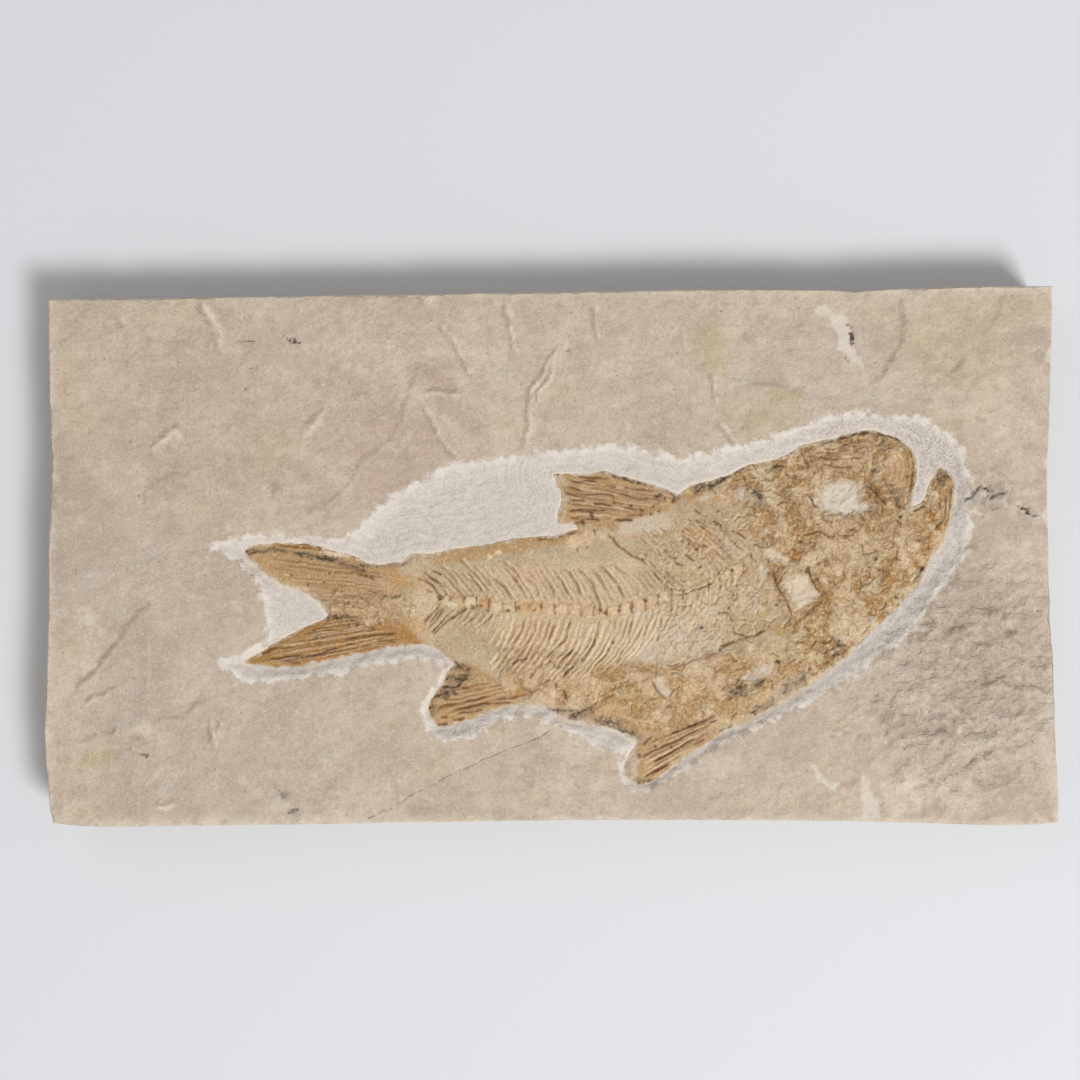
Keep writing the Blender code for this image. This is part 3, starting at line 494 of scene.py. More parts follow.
def split_ledges(face):
    """The low steps where thin layers split away, each with painted shade or painted highlight along it by
    the way it faces the light.
    """
    for line, drop in LEDGES:
        line = smooth_curve(line, 1.0)
        away, along, side = from_line(face.bent_x, face.bent_y, line)
        share = along / lengths_along(line)[-1]
        ends = smoothstep(np.minimum(share, 1.0 - share) * 4.0 + 0.2)
        fade = np.exp(-((away / LEDGE_FADE) ** 2)) * ends
        face.height -= np.where(side < 0.0, drop * fade * smoothstep(away / LEDGE_WIDTH), 0.0)
        shade_step(face, line, STEP_SHADE, 1.4 * drop + 0.2)


def rough_patch(face, flaky, draw):
    """Streaky bumps and short steps below the jaw; each step gets painted shade or painted highlight, with
    specks of painted shade near it.
    """
    x, y = face.x, face.y
    out = np.hypot((x - ROUGH_CENTRE[0]) / ROUGH_RADIUS[0], (y - ROUGH_CENTRE[1]) / ROUGH_RADIUS[1])
    rough = smoothstep((1.15 - out) * 1.6)
    bumps = terraced(1.6 * streaks(x, y, ROUGH_TURN, 2.4, 1.0, 40), 0.7)
    bumps += 0.8 * terraced(1.9 * layered(face.bent_x, face.bent_y, 1.9, 44, 3, 0.6), 0.7)
    face.height += rough * (0.16 * bumps + 0.07 * layered(x, y, 0.8, 47, 2) - 0.05)
    face.tint("rough", slice(None), np.maximum(rough, 0.3 * flaky))
    for line in SCARPS:
        line = smooth_curve(line, 0.6)
        middle = line[len(line) // 2]
        # painted shade or highlight along each step, and specks of painted shade near its middle
        shade_step(face, line[::-1], STEP_SHADE, 0.75)
        face.specks(draw, *middle, 2.2, 0.9, ROUGH_TURN, 7, size=0.2, rise=-0.1, dusk=0.8)


def raised_seams(face):
    """Thin pale seams with a shaded foot on the side away from the light."""
    for line, width in SEAMS:
        line = smooth_curve(line, 0.8)
        run = (line[-1] - line[0]) / np.hypot(*(line[-1] - line[0]))
        aside = np.array([run[1], -run[0]])
        aside *= -np.sign(aside @ LIT_SIDE)
        # painted shade at the seam's foot, on the side away from the light
        face.stroke(line + 0.5 * aside, width + 0.26, rise=-0.06, broken=0.3, dusk=0.85)
        face.stroke(line, width + 0.16, rise=0.16, broken=0.2, pale=1.0)


def slab_marks(face, draw):
    """Grooves darkened with painted shade, dark mineral, chips with specks of painted shadow, tool scuffs and
    the face's soft patches of colour.
    """
    for line, width, amount in SHADED_GROOVES:
        face.stroke(smooth_curve(line, 0.8), width, rise=-0.08, broken=0.7, dusk=amount)
    for line, width, amount in SLAB_INK:
        line = smooth_curve(line, 0.8)
        face.stroke(line, 1.5 * width, rise=-0.05, broken=0.2, ink=0.7 * amount)
        for x, y in line:
            face.specks(draw, x, y, 2.0 * width, 1.2 * width, 0.0, 3, size=0.16, ink=amount)
    for x, y, rx, ry, turn, count in SLAB_CHIPS:
        # specks of painted shadow among the pale chips
        face.specks(draw, x, y, rx, ry, turn, count, size=0.26, rise=-0.1, dusk=1.0)
        face.specks(draw, x, y, rx, ry, turn, count, size=0.26, rise=0.12, pale=1.0)
    for corners, amount in SCUFFS:
        face.area(corners, soft=0.5, rise=-0.12, scuff=amount)
    for number, (x, y, rx, ry, turn, tints) in enumerate(SLAB_PATCHES):
        face.patch(x, y, rx, ry, turn, soft=1.2, rough=0.4, seed=number, **tints)


def split_face(x, y):
    """The slab's face: waves, ledges, the rough patch below the jaw, seams and marks."""
    face = Surface(x, y, SLAB_TINTS, wobble=0.22, seed=3)
    draw = np.random.default_rng(SLAB_SEED)
    flaky = flaky_ground(face)
    split_ledges(face)
    rough_patch(face, flaky, draw)
    raised_seams(face)
    slab_marks(face, draw)
    return face


def slab_face(x, y):
    """The whole upper face with its masks and the fields that the scraped strip's grain follows."""
    face = split_face(x, y)
    outward, along = fish_depth(x, y)
    halo, _ = depth_inside(x, y, closed_outline(HALO_EDGE, 1.0))
    fuzzy = halo + 0.22 * layered(x, y, 1.1, 60, 3)
    # the strip slopes down from its outer edge, steeply where it is narrow
    wall = np.minimum(WALL_WIDTH, np.abs(halo) + np.abs(outward))
    cut = np.where(halo > 0.0, smoothstep(fuzzy / wall), 0.0)
    cut = np.where(outward > 0.0, 1.0, cut)
    pits = np.minimum(layered(x, y, 0.5, 66, 2) + 0.25, 0.0)
    scraped = -PREPARED_DEPTH + 0.02 * layered(x, y, 0.9, 64, 2) + 0.12 * pits * face.tints["pitted"]
    height = face.height * (1 - cut) + scraped * cut
    height -= BED_DEPTH * smoothstep((outward - 0.05) / 0.35)
    crack = hairline(x, y)
    height -= 0.06 * np.exp(-((crack / 0.3) ** 2)) * (1 - cut)
    fields = dict(face.tints)
    fields.update(halo=halo, outward=-outward, along=along, crack=crack)
    return FACE_LEVEL + swell(x, y) + height, fields


def hairline(x, y):
    """Distance to the hairline crack, with a sign for the side; far from it past its ends."""
    line = smooth_curve(HAIRLINE, 1.0)
    bent = 0.25 * layered(x, y, 3.0, 70, 3)
    away, along, side = from_line(x, y + bent, line)
    past = (along < 0.02) | (along > lengths_along(line)[-1] - 0.02)
    return np.where(past, 9.0, side * away)


def edge_at(points, coordinate, along_x):
    """Smoothly reads a slab edge: y for an x on the long sides, x for a y on the short ones."""
    line = smooth_curve(points, 1.0)
    if along_x:
        return np.interp(coordinate, line[:, 0], line[:, 1])
    return np.interp(coordinate, line[:, 1], line[:, 0])


def slab_grid():
    """Plan positions of a grid whose border is the slab's edge, pulled in by the worn arris."""
    columns = round((SLAB_HIGH[0] - SLAB_LOW[0]) / SLAB_STEP)
    rows = round((SLAB_HIGH[1] - SLAB_LOW[1]) / SLAB_STEP)
    u, v = np.meshgrid(np.linspace(0, 1, columns + 1), np.linspace(0, 1, rows + 1))
    level = SLAB_LOW[1] + v * (SLAB_HIGH[1] - SLAB_LOW[1])
    left, right = edge_at(LEFT_EDGE, level, False), edge_at(RIGHT_EDGE, level, False)
    x = left + u * (right - left)
    bottom, top = edge_at(BOTTOM_EDGE, x, True), edge_at(TOP_EDGE, x, True)
    return x, bottom + v * (top - bottom)


def border_order(rows, columns):
    """Grid indices round the border, clockwise seen from above, starting at the lower left."""
    index = np.arange(rows * columns).reshape(rows, columns)
    return np.concatenate([index[:-1, 0], index[-1, :-1], index[:0:-1, -1], index[0, :0:-1]])


def grid_faces(rows, columns):
    """Quads of a grid, facing up."""
    index = np.arange(rows * columns).reshape(rows, columns)
    a, b, c, d = index[:-1, :-1], index[:-1, 1:], index[1:, 1:], index[1:, :-1]
    return np.stack([a, b, c, d], axis=-1).reshape(-1, 4)


def mesh_object(name, points, faces, fields, material):
    """An object from points in millimetres, with one float attribute for each field."""
    data = bpy.data.meshes.new(name)
    data.from_pydata((points * MM).tolist(), [], [list(map(int, face)) for face in faces])
    for key, values in fields.items():
        layer = data.attributes.new(key, "FLOAT", "POINT")
        layer.data.foreach_set("value", values.astype(np.float32))
    data.materials.append(material)
    data.shade_smooth()
    data.validate()
    thing = bpy.data.objects.new(name, data)
    bpy.context.scene.collection.objects.link(thing)
    return thing


# Rings down the slab's side from the face's border: how far outwards, and how far down, as shares of the side
ARRIS = [
    (0.45, 0), (0.8, 0.02), (0.97, 0.05), (1, 0.1), (1, 0.25), (1, 0.4), (1, 0.55), (1, 0.7), (1, 0.85),
    (1, 0.965), (0.8, 1),
]
ARRIS_WIDTH = 0.4

# The pale worn margin of the face, and how far in from the side the worn edge pulls the face's points
MARGIN = 1.6
PULL_REACH = 3.0

# No point nearer the middle than this, in x and in y, is within that reach
PULL_FREE = (55.0, 27.0)


def near_side(x, y):
    """1 at the sides of the slab's box, falling to 0 where the worn margin ends."""
    to_sides = np.abs([x - SLAB_LOW[0], x - SLAB_HIGH[0], y - SLAB_LOW[1], y - SLAB_HIGH[1]])
    return 1.0 - np.clip(to_sides.min(axis=0) / MARGIN, 0.0, 1.0)


def make_slab(material):
    """The slab: its face, worn arris, rough sides with faint layers, and flat underside."""
    x, y = slab_grid()
    rows, columns = x.shape
    border = border_order(rows, columns)
    flat_x, flat_y = x.ravel(), y.ravel()
    edge = np.column_stack([flat_x[border], flat_y[border]])
    after, before = np.roll(edge, -1, axis=0), np.roll(edge, 1, axis=0)
    run = (after - before) / np.linalg.norm(after - before, axis=1)[:, None]
    outward = np.column_stack([-run[:, 1], run[:, 0]])
    # the face stops short of the side by the arris, which is wider where the edge is chipped
    chip = smoothstep(layered(edge[:, 0], edge[:, 1], 4.0, 80, 3) * 1.5 - 0.7)
    width = ARRIS_WIDTH * (0.6 + 0.3 * layered(edge[:, 0], edge[:, 1], 1.5, 84, 2) + 1.3 * chip)
    width = np.clip(width, 0.12, 1.2)
    pull_x, pull_y = inward_pull(flat_x, flat_y, edge, outward, width)
    flat_x, flat_y = flat_x + pull_x, flat_y + pull_y
    height, fields = slab_face(flat_x, flat_y)
    fields["pale"] = np.maximum(fields["pale"], 0.75 * near_side(flat_x, flat_y))
    fields["side"] = np.zeros(len(flat_x))
    points = [np.column_stack([flat_x, flat_y, height])]
    faces = [grid_faces(rows, columns)]
    ring, count = border, len(border)
    inner = edge - outward * width[:, None]
    start = height[border]
    for number, (out, down) in enumerate(ARRIS):
        level = start * (1 - down)
        plan = inner + outward * (width * out)[:, None]
        rough = 0.06 * layered(edge[:, 0] + edge[:, 1], level * 2.0, 1.2, 90, 3)
        rough += 0.05 * noise(edge[:, 0] * 0.1 + edge[:, 1] * 0.1, level, 0.7, 95)
        if 0.1 <= down <= 0.9:
            plan = plan + outward * (rough - 0.11)[:, None]
        new = len(border) * number + len(flat_x) + np.arange(count)
        points.append(np.column_stack([plan, level]))
        faces.append(np.column_stack([ring, np.roll(ring, -1), np.roll(new, -1), new]))
        for key in fields:
            filler = {"halo": -9.0, "outward": 9.0, "crack": 9.0, "pale": 0.8,
                      "side": float(smoothstep(10.0 * down - 0.2))}.get(key, 0.0)
            fields[key] = np.concatenate([fields[key], np.full(count, filler)])
        ring = new
    faces = [face for group in faces for face in group] + [ring]
    thing = mesh_object("slab_stone", np.vstack(points), faces, fields, material)
    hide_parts("slab")
    return thing


def inward_pull(x, y, edge, outward, width):
    """Moves grid points near the border inwards by the arris, fading to nothing a few millimetres in."""
    nearest = np.zeros(len(x), int)
    best = np.full(len(x), 1e9)
    rim = np.flatnonzero((np.abs(x) > PULL_FREE[0]) | (np.abs(y) > PULL_FREE[1]))
    for k in range(len(edge)):
        away = np.hypot(x[rim] - edge[k, 0], y[rim] - edge[k, 1])
        closer = away < best[rim]
        best[rim[closer]] = away[closer]
        nearest[rim[closer]] = k
    share = np.clip(1.0 - best / PULL_REACH, 0.0, 1.0) * width[nearest]
    return -outward[nearest, 0] * share, -outward[nearest, 1] * share


FISH_TINTS = ("ochre", "cream", "orange", "brown", "seam", "ink", "pale", "green", "pink", "grey", "broken")

# The fish's ground colours: corners as x, y, x, y and so on, softness, tints
FISH_AREAS = [
    # tail: upper lobe, lower lobe and root
    ((-38, 1.6, -27, 1.5, -21.5, -0.2, -18.5, -1.2, -18.6, -4.4, -23, -4.9, -28, -4.4, -33, -2.5, -38,
     -0.2), 0.9, {"ochre": 0.55}),
    ((-27, -6.9, -22.5, -7.2, -18.2, -7.6, -16.4, -9.4, -15.6, -11.4, -22, -12.2, -30, -14, -38, -13.6,
     -31, -9.1), 0.9, {"ochre": 0.85, "brown": 0.42}),
    ((-18.5, -1.2, -17.4, -4, -17.4, -8, -19, -9, -27, -7.3, -27, -5), 1.2, {"ochre": 0.42}),
    # dorsal, anal and pelvic fins
    ((0, 10.4, 8, 10.2, 15.3, 7.8, 14.6, 6, 10, 4.2, 6, 3.6, 0.5, 3.9), 0.6, {"ochre": 0.5}),
    ((8.2, 4.2, 13.2, 5.4, 13, 6.8, 9, 6, 7.6, 5), 0.8, {"brown": 0.35}),
    ((-12.4, -12.6, -9, -13.4, -5, -15.6, -3.4, -16.4, -4, -18, -9, -19.6, -14.6, -20.9, -15.3, -17.4),
     0.8, {"ochre": 0.58}),
    ((20.4, -18.6, 17, -19.4, 10.2, -22.4, 8.2, -25.5, 10, -28, 14, -26.3, 19.4, -22), 0.8, {"ochre": 0.5}),
    # head, nape, skull roof, jaw and throat
    ((15.4, 8.4, 23, 11.6, 32, 14.6, 38.5, 15.6, 44.2, 13, 44, 10, 47, 11, 49, 8, 46, 0, 44, -4.5, 38, -10,
     31, -15.8, 28.5, -13, 28.6, -8, 26, -2, 24.6, 2, 22.6, 6), 1.4, {"ochre": 0.5, "broken": 1}),
    ((15.6, 7.2, 19, 9.4, 24, 11.4, 29, 12.6, 30.6, 10.4, 26, 8.4, 22, 7.6, 18, 5.8), 0.8, {"ochre": 0.58}),
    ((30, 11.6, 33, 14.4, 38.4, 15.4, 41.6, 14.6, 40.6, 12.6, 36, 11.9), 0.7, {"brown": 0.38}),
    ((45.2, 6.6, 46.6, 10.8, 48.6, 9.4, 48.4, 5, 46.6, 0, 44.6, -3.4, 43, -1.6, 44.2, 2.4), 0.8, {"ochre":
     0.86, "orange": 0.2}),
    # belly and the flaky ground behind it
    ((4, -13, 12, -13, 20, -11.6, 27, -10.6, 29, -14, 22, -20, 12, -21.6, 4, -19.4), 1.4, {"ochre": 0.5,
     "broken": 0.7}),
    ((-6.4, -11, 3, -11.6, 5, -14, 3.6, -18.6, -2.4, -17.4, -6, -16), 1, {"orange": 0.3, "broken": 0.85}),
    ((-16.8, -1.2, -12.6, -2, -12, -7.4, -14.6, -10.4, -16.8, -9), 0.9, {"cream": 0.25, "broken": 0.35}),
    # back above the spines and flank of ribs
    ((-15.4, 0.4, -6, 2, 3, 3.3, 3.6, 2, -4, 0.4, -14, -1.2), 0.7, {"ochre": 0.5}),
    ((-8, -1.5, 4, -1, 10, -0.5, 11.4, -5, 11, -10, 6, -13, -2, -12, -7, -9), 1.6, {"cream": 0.38}),
    ((-5.6, -7.6, 2.4, -7.6, 3.4, -11, -1, -14.4, -6, -13.4), 1.4, {"orange": 0.22}),
    ((-6, -1, 0, -0.6, 0, -3.6, -6, -3.6), 1.2, {"pink": 0.5}),
    ((10, -5, 16, -4.4, 20.6, -3, 20.8, -13, 14, -14, 9.6, -12), 1.4, {"grey": 0.85}),
    ((22.7, -3.2, 24.8, -3.2, 25.3, -5, 25.4, -6.6, 24.2, -7, 22.6, -6.5), 0.4, {"grey": 0.8, "pink": 0.3}),
    ((8.2, 2.7, 8.2, 4.3, 14, 5.2, 14.4, 3, 12, 2.6), 0.7, {"grey": 0.95}),
    ((12, -6.2, 20, -10.4, 30.6, -2, 24, 4.6, 16, 3.4), 2.4, {"broken": 0.25}),
]

# Soft patches of colour on the fish: x, y, radii, turn, tints
FISH_PATCHES = [
    (-26, -11.6, 4.2, 0.6, 12, {"orange": 0.75}), (-17.2, -2.9, 2, 0.9, -15, {"orange": 0.45}),
    (-16.9, -8.2, 1.7, 1, -10, {"orange": 0.5}), (-15.5, -5.8, 1.5, 1.1, 0, {"grey": 0.8}),
    (-32.4, -2.6, 0.6, 0.5, 0, {"green": 0.9}), (-21, -3.4, 2, 0.6, -15, {"pink": 0.6}),
    (-30, 1.1, 2.6, 0.35, -4, {"orange": 0.6}), (-26, 0.15, 1.8, 0.3, -10, {"cream": 0.9}),
    (-8, -16.4, 1.2, 0.6, -20, {"orange": 0.7}), (-9.6, -15.7, 1.5, 0.7, -20, {"brown": 0.55}),
    (-4.2, -16.5, 0.8, 0.4, 20, {"orange": 0.9}), (-7.6, -5.5, 0.8, 0.6, 0, {"pink": 0.9, "orange": 0.5}),
    (-2.6, -6.1, 1.7, 0.7, 0, {"orange": 0.85}), (0.8, -6.3, 1.4, 0.5, 0, {"orange": 0.4, "cream": 0.5}),
    (6.8, -6.6, 1.3, 0.5, 0, {"orange": 0.7}), (3.3, -5.3, 1.8, 0.3, -8, {"pink": 0.6}),
    (9.6, -6, 0.6, 0.5, 0, {"orange": 0.8}), (11.2, -6.2, 0.5, 0.4, 0, {"orange": 0.8}),
    (-12, -5.8, 0.5, 0.4, 0, {"cream": 1}), (-9.5, -5.7, 0.6, 0.4, 0, {"cream": 1}),
    (-1.35, -8.2, 0.35, 0.9, 10, {"orange": 0.7}), (-6.5, 0.4, 0.5, 0.35, 0, {"cream": 1}),
    (-7.6, 0, 0.4, 0.35, 0, {"cream": 0.9}), (7.2, 3.5, 0.8, 0.5, 0, {"brown": 0.45}),
    (4, 2.2, 2.2, 0.8, 15, {"cream": 0.5, "orange": 0.2}), (10, 2.4, 1.6, 0.4, 0, {"pink": 0.8}),
    (12.9, 2.6, 0.8, 0.35, 0, {"green": 0.8}), (0.6, 2.6, 3, 0.35, 12, {"orange": 0.4, "ochre": 0.7}),
    (10.6, -16.3, 2.2, 1.5, 10, {"green": 0.7}), (5, -14.6, 4, 1.6, 15, {"green": 0.45}),
    (6.9, -18.4, 1.7, 1, -10, {"orange": 0.65, "cream": 0.4}), (15.7, -15, 0.9, 2.1, 8, {"ochre": 0.9}),
    (15.2, -13.5, 1.3, 0.5, 0, {"orange": 0.6}), (22.6, -12.2, 0.9, 0.8, 0, {"brown": 0.75}),
    (19, -12, 0.8, 0.7, 0, {"brown": 0.55}), (26.6, -12.7, 0.6, 0.5, 0, {"green": 0.9}),
    (28.2, -13.4, 1.2, 0.8, -30, {"orange": 0.4}), (24.8, -14.1, 2, 0.9, 25, {"grey": 0.9, "pale": 0.35}),
    (29, -15.4, 2.2, 0.8, 32, {"grey": 0.8}), (-0.8, -17.7, 2.6, 0.8, -20, {"grey": 0.6}),
    (17.7, 1.8, 2.2, 1.5, -20, {"orange": 0.45}), (25, 3.5, 1.2, 1.6, 0, {"orange": 0.55, "pink": 0.4}),
    (25.5, -6.2, 0.6, 2, 0, {"green": 0.6}), (24.6, -8.2, 1.6, 1.4, 0, {"green": 0.5}),
    (25.4, -1.9, 0.5, 0.7, 0, {"pale": 0.6, "green": 0.4}), (21.6, 1, 1.6, 1, 0, {"grey": 0.7}),
    (24, 6.7, 1.9, 0.9, -10, {"grey": 0.7}), (18.9, 7.3, 1.4, 0.6, 30, {"grey": 0.85}),
    (22.7, 7.7, 0.45, 1.2, 0, {"pale": 0.8}), (14.5, 7.1, 0.5, 0.8, 20, {"ochre": 0.9}),
    (26.6, 1.8, 0.8, 0.7, 0, {"brown": 0.6}), (29.3, 0.1, 0.9, 0.7, 30, {"orange": 0.9}),
    (36.3, 3.7, 1.2, 0.4, -10, {"brown": 0.8, "orange": 0.4}), (39.8, 12.5, 1.4, 0.6, 0, {"green": 0.7}),
    (33, -6.3, 1.9, 0.9, -15, {"ochre": 0.9}), (35.8, -7.3, 1.4, 1.8, -40, {"pink": 0.9, "orange": 0.3}),
    (37.8, -8.2, 0.9, 0.5, 40, {"pink": 0.9}), (28.2, -8.8, 1.6, 0.8, 0, {"green": 0.9, "ochre": 0.4}),
    (32.5, -8.5, 1.6, 0.8, 0, {"green": 0.55}), (29.6, -11.2, 1.3, 0.6, 0, {"ochre": 0.9}),
    (41.6, -4.5, 1.1, 1, 30, {"green": 0.8, "ochre": 0.7}), (46.5, 1.4, 0.5, 0.8, 0, {"orange": 0.5}),
    (47, 9.4, 0.7, 0.9, 10, {"ink": 0.45}), (39.2, 7.4, 1.3, 1.8, -40, {"brown": 0.4}),
    (28.8, 9, 1.8, 1, 20, {"brown": 0.35}), (34.6, 11.2, 2.6, 0.6, 0, {"cream": 0.45}),
    (9.6, -25.2, 0.8, 1.6, 0, {"pale": 0.5}), (-13.6, -14.6, 1.1, 0.6, 30, {"pale": 0.4}),
    (22.6, -16.4, 1.2, 0.6, 0, {"grey": 1}), (30.6, 6.6, 1, 1.4, 0, {"brown": 0.4}),
    (43, 2.8, 1.6, 1.6, 30, {"brown": 0.2}), (33.6, 0.8, 2.4, 1.2, 0, {"cream": 0.7}),
    (37.6, 0.6, 3.2, 2, 20, {"cream": 0.62}), (-21.5, -6.4, 4.8, 1.9, -5, {"broken": 0.9, "cream": 0.35}),
    (43.2, 1, 2.4, 2.6, 30, {"ochre": 0.85, "orange": 0.35}),
    (38.6, -4, 3.4, 2, 35, {"ochre": 0.76, "orange": 0.3}), (46.4, 4, 1.5, 4.6, -18, {"orange": 0.35}),
    (41.5, -1, 2.6, 1.6, 50, {"orange": 0.3}), (33, 9.9, 4.6, 1.4, 8, {"ochre": 0.6, "orange": 0.2}),
]

# Black mineral on the fish: half width, strength, lines
INK_LINES = [
    (0.42, 1, [(-31.2, 0.4, -29.5, 0.2, -28.5, 0, -27.9, -0.3, -26.9, -0.4, -25.9, -0.8)]),
    (0.28, 0.45, [
        (-37, 0.7, -35, 0.7, -33, 0.75, -31, 0.45), (-26, -0.8, -24.4, -1.3, -22.8, -1.9, -21.4, -2.7)]),
    (0.22, 0.8, [
        (-37.2, 0.6, -36.9, 0.3, -36.2, 0.3), (-36.4, 0.9, -35.9, 0.75),
        (-35.6, 0.8, -34.8, 0.5, -34.2, 0.6), (-33.7, 1, -33.2, 0.75),
        (-33.3, 0.75, -32.4, 0.5, -31.9, 0.4), (-30.5, -0.05, -28.6, -0.35),
        (-22.8, -8.1, -22.3, -8.5, -21.3, -8.7), (-20.4, -11.1, -19.6, -11.2), (5.5, 10.1, 6.3, 10.1),
        (16.5, 8.3, 17.7, 8.4), (22, 10.3, 22.6, 10.5, 22.9, 10.2), (24.9, 8.9, 25.7, 9.1, 26.9, 9.2),
        (9.3, -27.1, 10, -27, 12, -27), (1.9, -19.3, 3.9, -18.6), (23.1, -16.9, 23.3, -16.6),
        (31.2, -10.9, 31.6, -10.5, 31.9, -10), (34.2, -10.6, 34.9, -10.8),
        (43.6, -2.9, 44.2, -2.2, 44.6, -1.4), (24.4, -15.6, 25, -15.3), (21.6, -16.7, 22.2, -16.3),
        (9.4, -21.1, 10.4, -21.9), (5.2, -20, 5.8, -19.6), (6.3, -19.8, 7, -20, 7.4, -19.9),
        (18.5, -21.4, 18.8, -21.6), (41.5, 4.3, 42, 3.5)]),
    (0.3, 1, [
        (-11.6, -13.3, -11, -13.5, -10.6, -13.8, -9.9, -13.4),
        (-13, -15, -12.2, -14.7, -11.6, -14.8, -9.9, -14.6),
        (-13.3, -16, -12.5, -15.8, -11.5, -15.8, -10.7, -15), (-14.4, -16.9, -13.5, -16.8, -12.2, -16.3),
        (-12.2, -16.3, -11.4, -16.6), (-14.5, -18, -14.7, -18.5), (17.1, 7.4, 18.3, 8.6),
        (18.7, 8.05, 20.8, 9.3, 22.4, 10.3), (25.9, 10.1, 26.4, 10.6, 27.3, 10.9), (8.6, -25.5, 9, -25.3),
        (0.1, -18.6, 0.5, -18.8, 1.1, -18.5), (6.6, -20.6, 7.4, -20.8, 8.3, -21, 8.9, -21.4),
        (24.2, 8, 24.8, 7.2, 25, 6.6), (22.2, -15.9, 22.8, -15.7)]),
    (0.2, 0.65, [
        (-25.9, -0.75, -24.6, -1.1, -23.3, -1.5), (-10.6, -13.7, -10.4, -14.2), (-12.6, -14.4, -12, -14.3),
        (-14.9, -18.9, -14.2, -19.2), (-19.1, -4.9, -18.3, -4.7), (-26.5, -4.2, -25, -4.3),
        (24, 6.2, 25.2, 6), (22, 9, 23.2, 9.2, 23.4, 7.8), (8.8, -24.9, 9.6, -24.7, 10.3, -24.8),
        (24, -18.3, 24.8, -17.9), (25.6, -18.5, 26.8, -17.8), (21.6, -20, 21.8, -19.2, 22.5, -18.8),
        (20, -21.2, 21.2, -20.8, 21.8, -20.2), (30.2, -14.6, 30.4, -13.6),
        (36.9, -11.2, 37.6, -10.9, 38.2, -10.1, 38.8, -9.6), (14.5, -24.6, 15.4, -24.1),
        (27.3, -15.8, 29, -15.2, 31, -14.8), (47.5, 10, 47.9, 9.2), (46.2, 10.4, 46.5, 9.4, 46.9, 8.4)]),
]

# Ragged clusters of black specks: x, y, radii, turn, count
INK_CLUSTERS = [
    (-28.4, 0, 2.6, 0.3, -8, 26), (-35.2, 0.6, 2, 0.25, 0, 14), (-24.4, -1.1, 2, 0.3, -20, 12),
    (-20.2, -1, 2.6, 0.25, 4, 12), (-11, -13.4, 1.3, 0.45, 0, 20), (-11.8, -14.7, 1.9, 0.35, 5, 20),
    (-12.2, -15.6, 1.6, 0.35, 15, 16), (-13.2, -16.7, 1.6, 0.4, 12, 18), (-14.5, -18.3, 0.5, 0.9, 0, 14),
    (0.5, -18.7, 1.1, 0.35, 0, 12), (3.4, -19, 1.5, 0.6, 20, 20), (6.6, -19.9, 1.6, 0.5, -12, 20),
    (9.3, -21.3, 1.5, 0.5, -25, 18), (9, -25.4, 0.4, 1.3, 0, 14), (10.8, -27.1, 1.6, 0.3, 0, 10),
    (22.6, -16.2, 1.3, 0.6, 15, 22), (24.6, -15.3, 0.8, 0.4, 20, 10), (25.4, -18.1, 1.5, 0.35, 25, 10),
    (38.9, 10.4, 0.5, 0.25, 20, 6), (20, 9, 2.6, 0.3, 28, 24), (17.8, 8.1, 0.9, 0.4, 40, 10),
    (26.6, 10.5, 0.9, 0.25, 25, 8), (24.6, 7.3, 0.9, 0.5, -50, 12), (22.6, 10.3, 0.7, 0.3, 0, 8),
    (47, 9.6, 0.5, 0.8, 0, 14), (44.1, -2.2, 1, 0.25, 58, 10), (34.5, -10.6, 0.7, 0.35, -20, 8),
    (37.8, -10.3, 1.4, 0.25, 45, 10), (29.2, -15.3, 2, 0.5, 28, 14), (9.6, 9.3, 2.8, 0.15, -10, 10),
    (14.6, 7.4, 0.8, 0.3, -40, 8), (12.6, 7.2, 0.6, 0.3, 0, 6), (-25.4, -7.4, 2, 0.25, -5, 5),
]

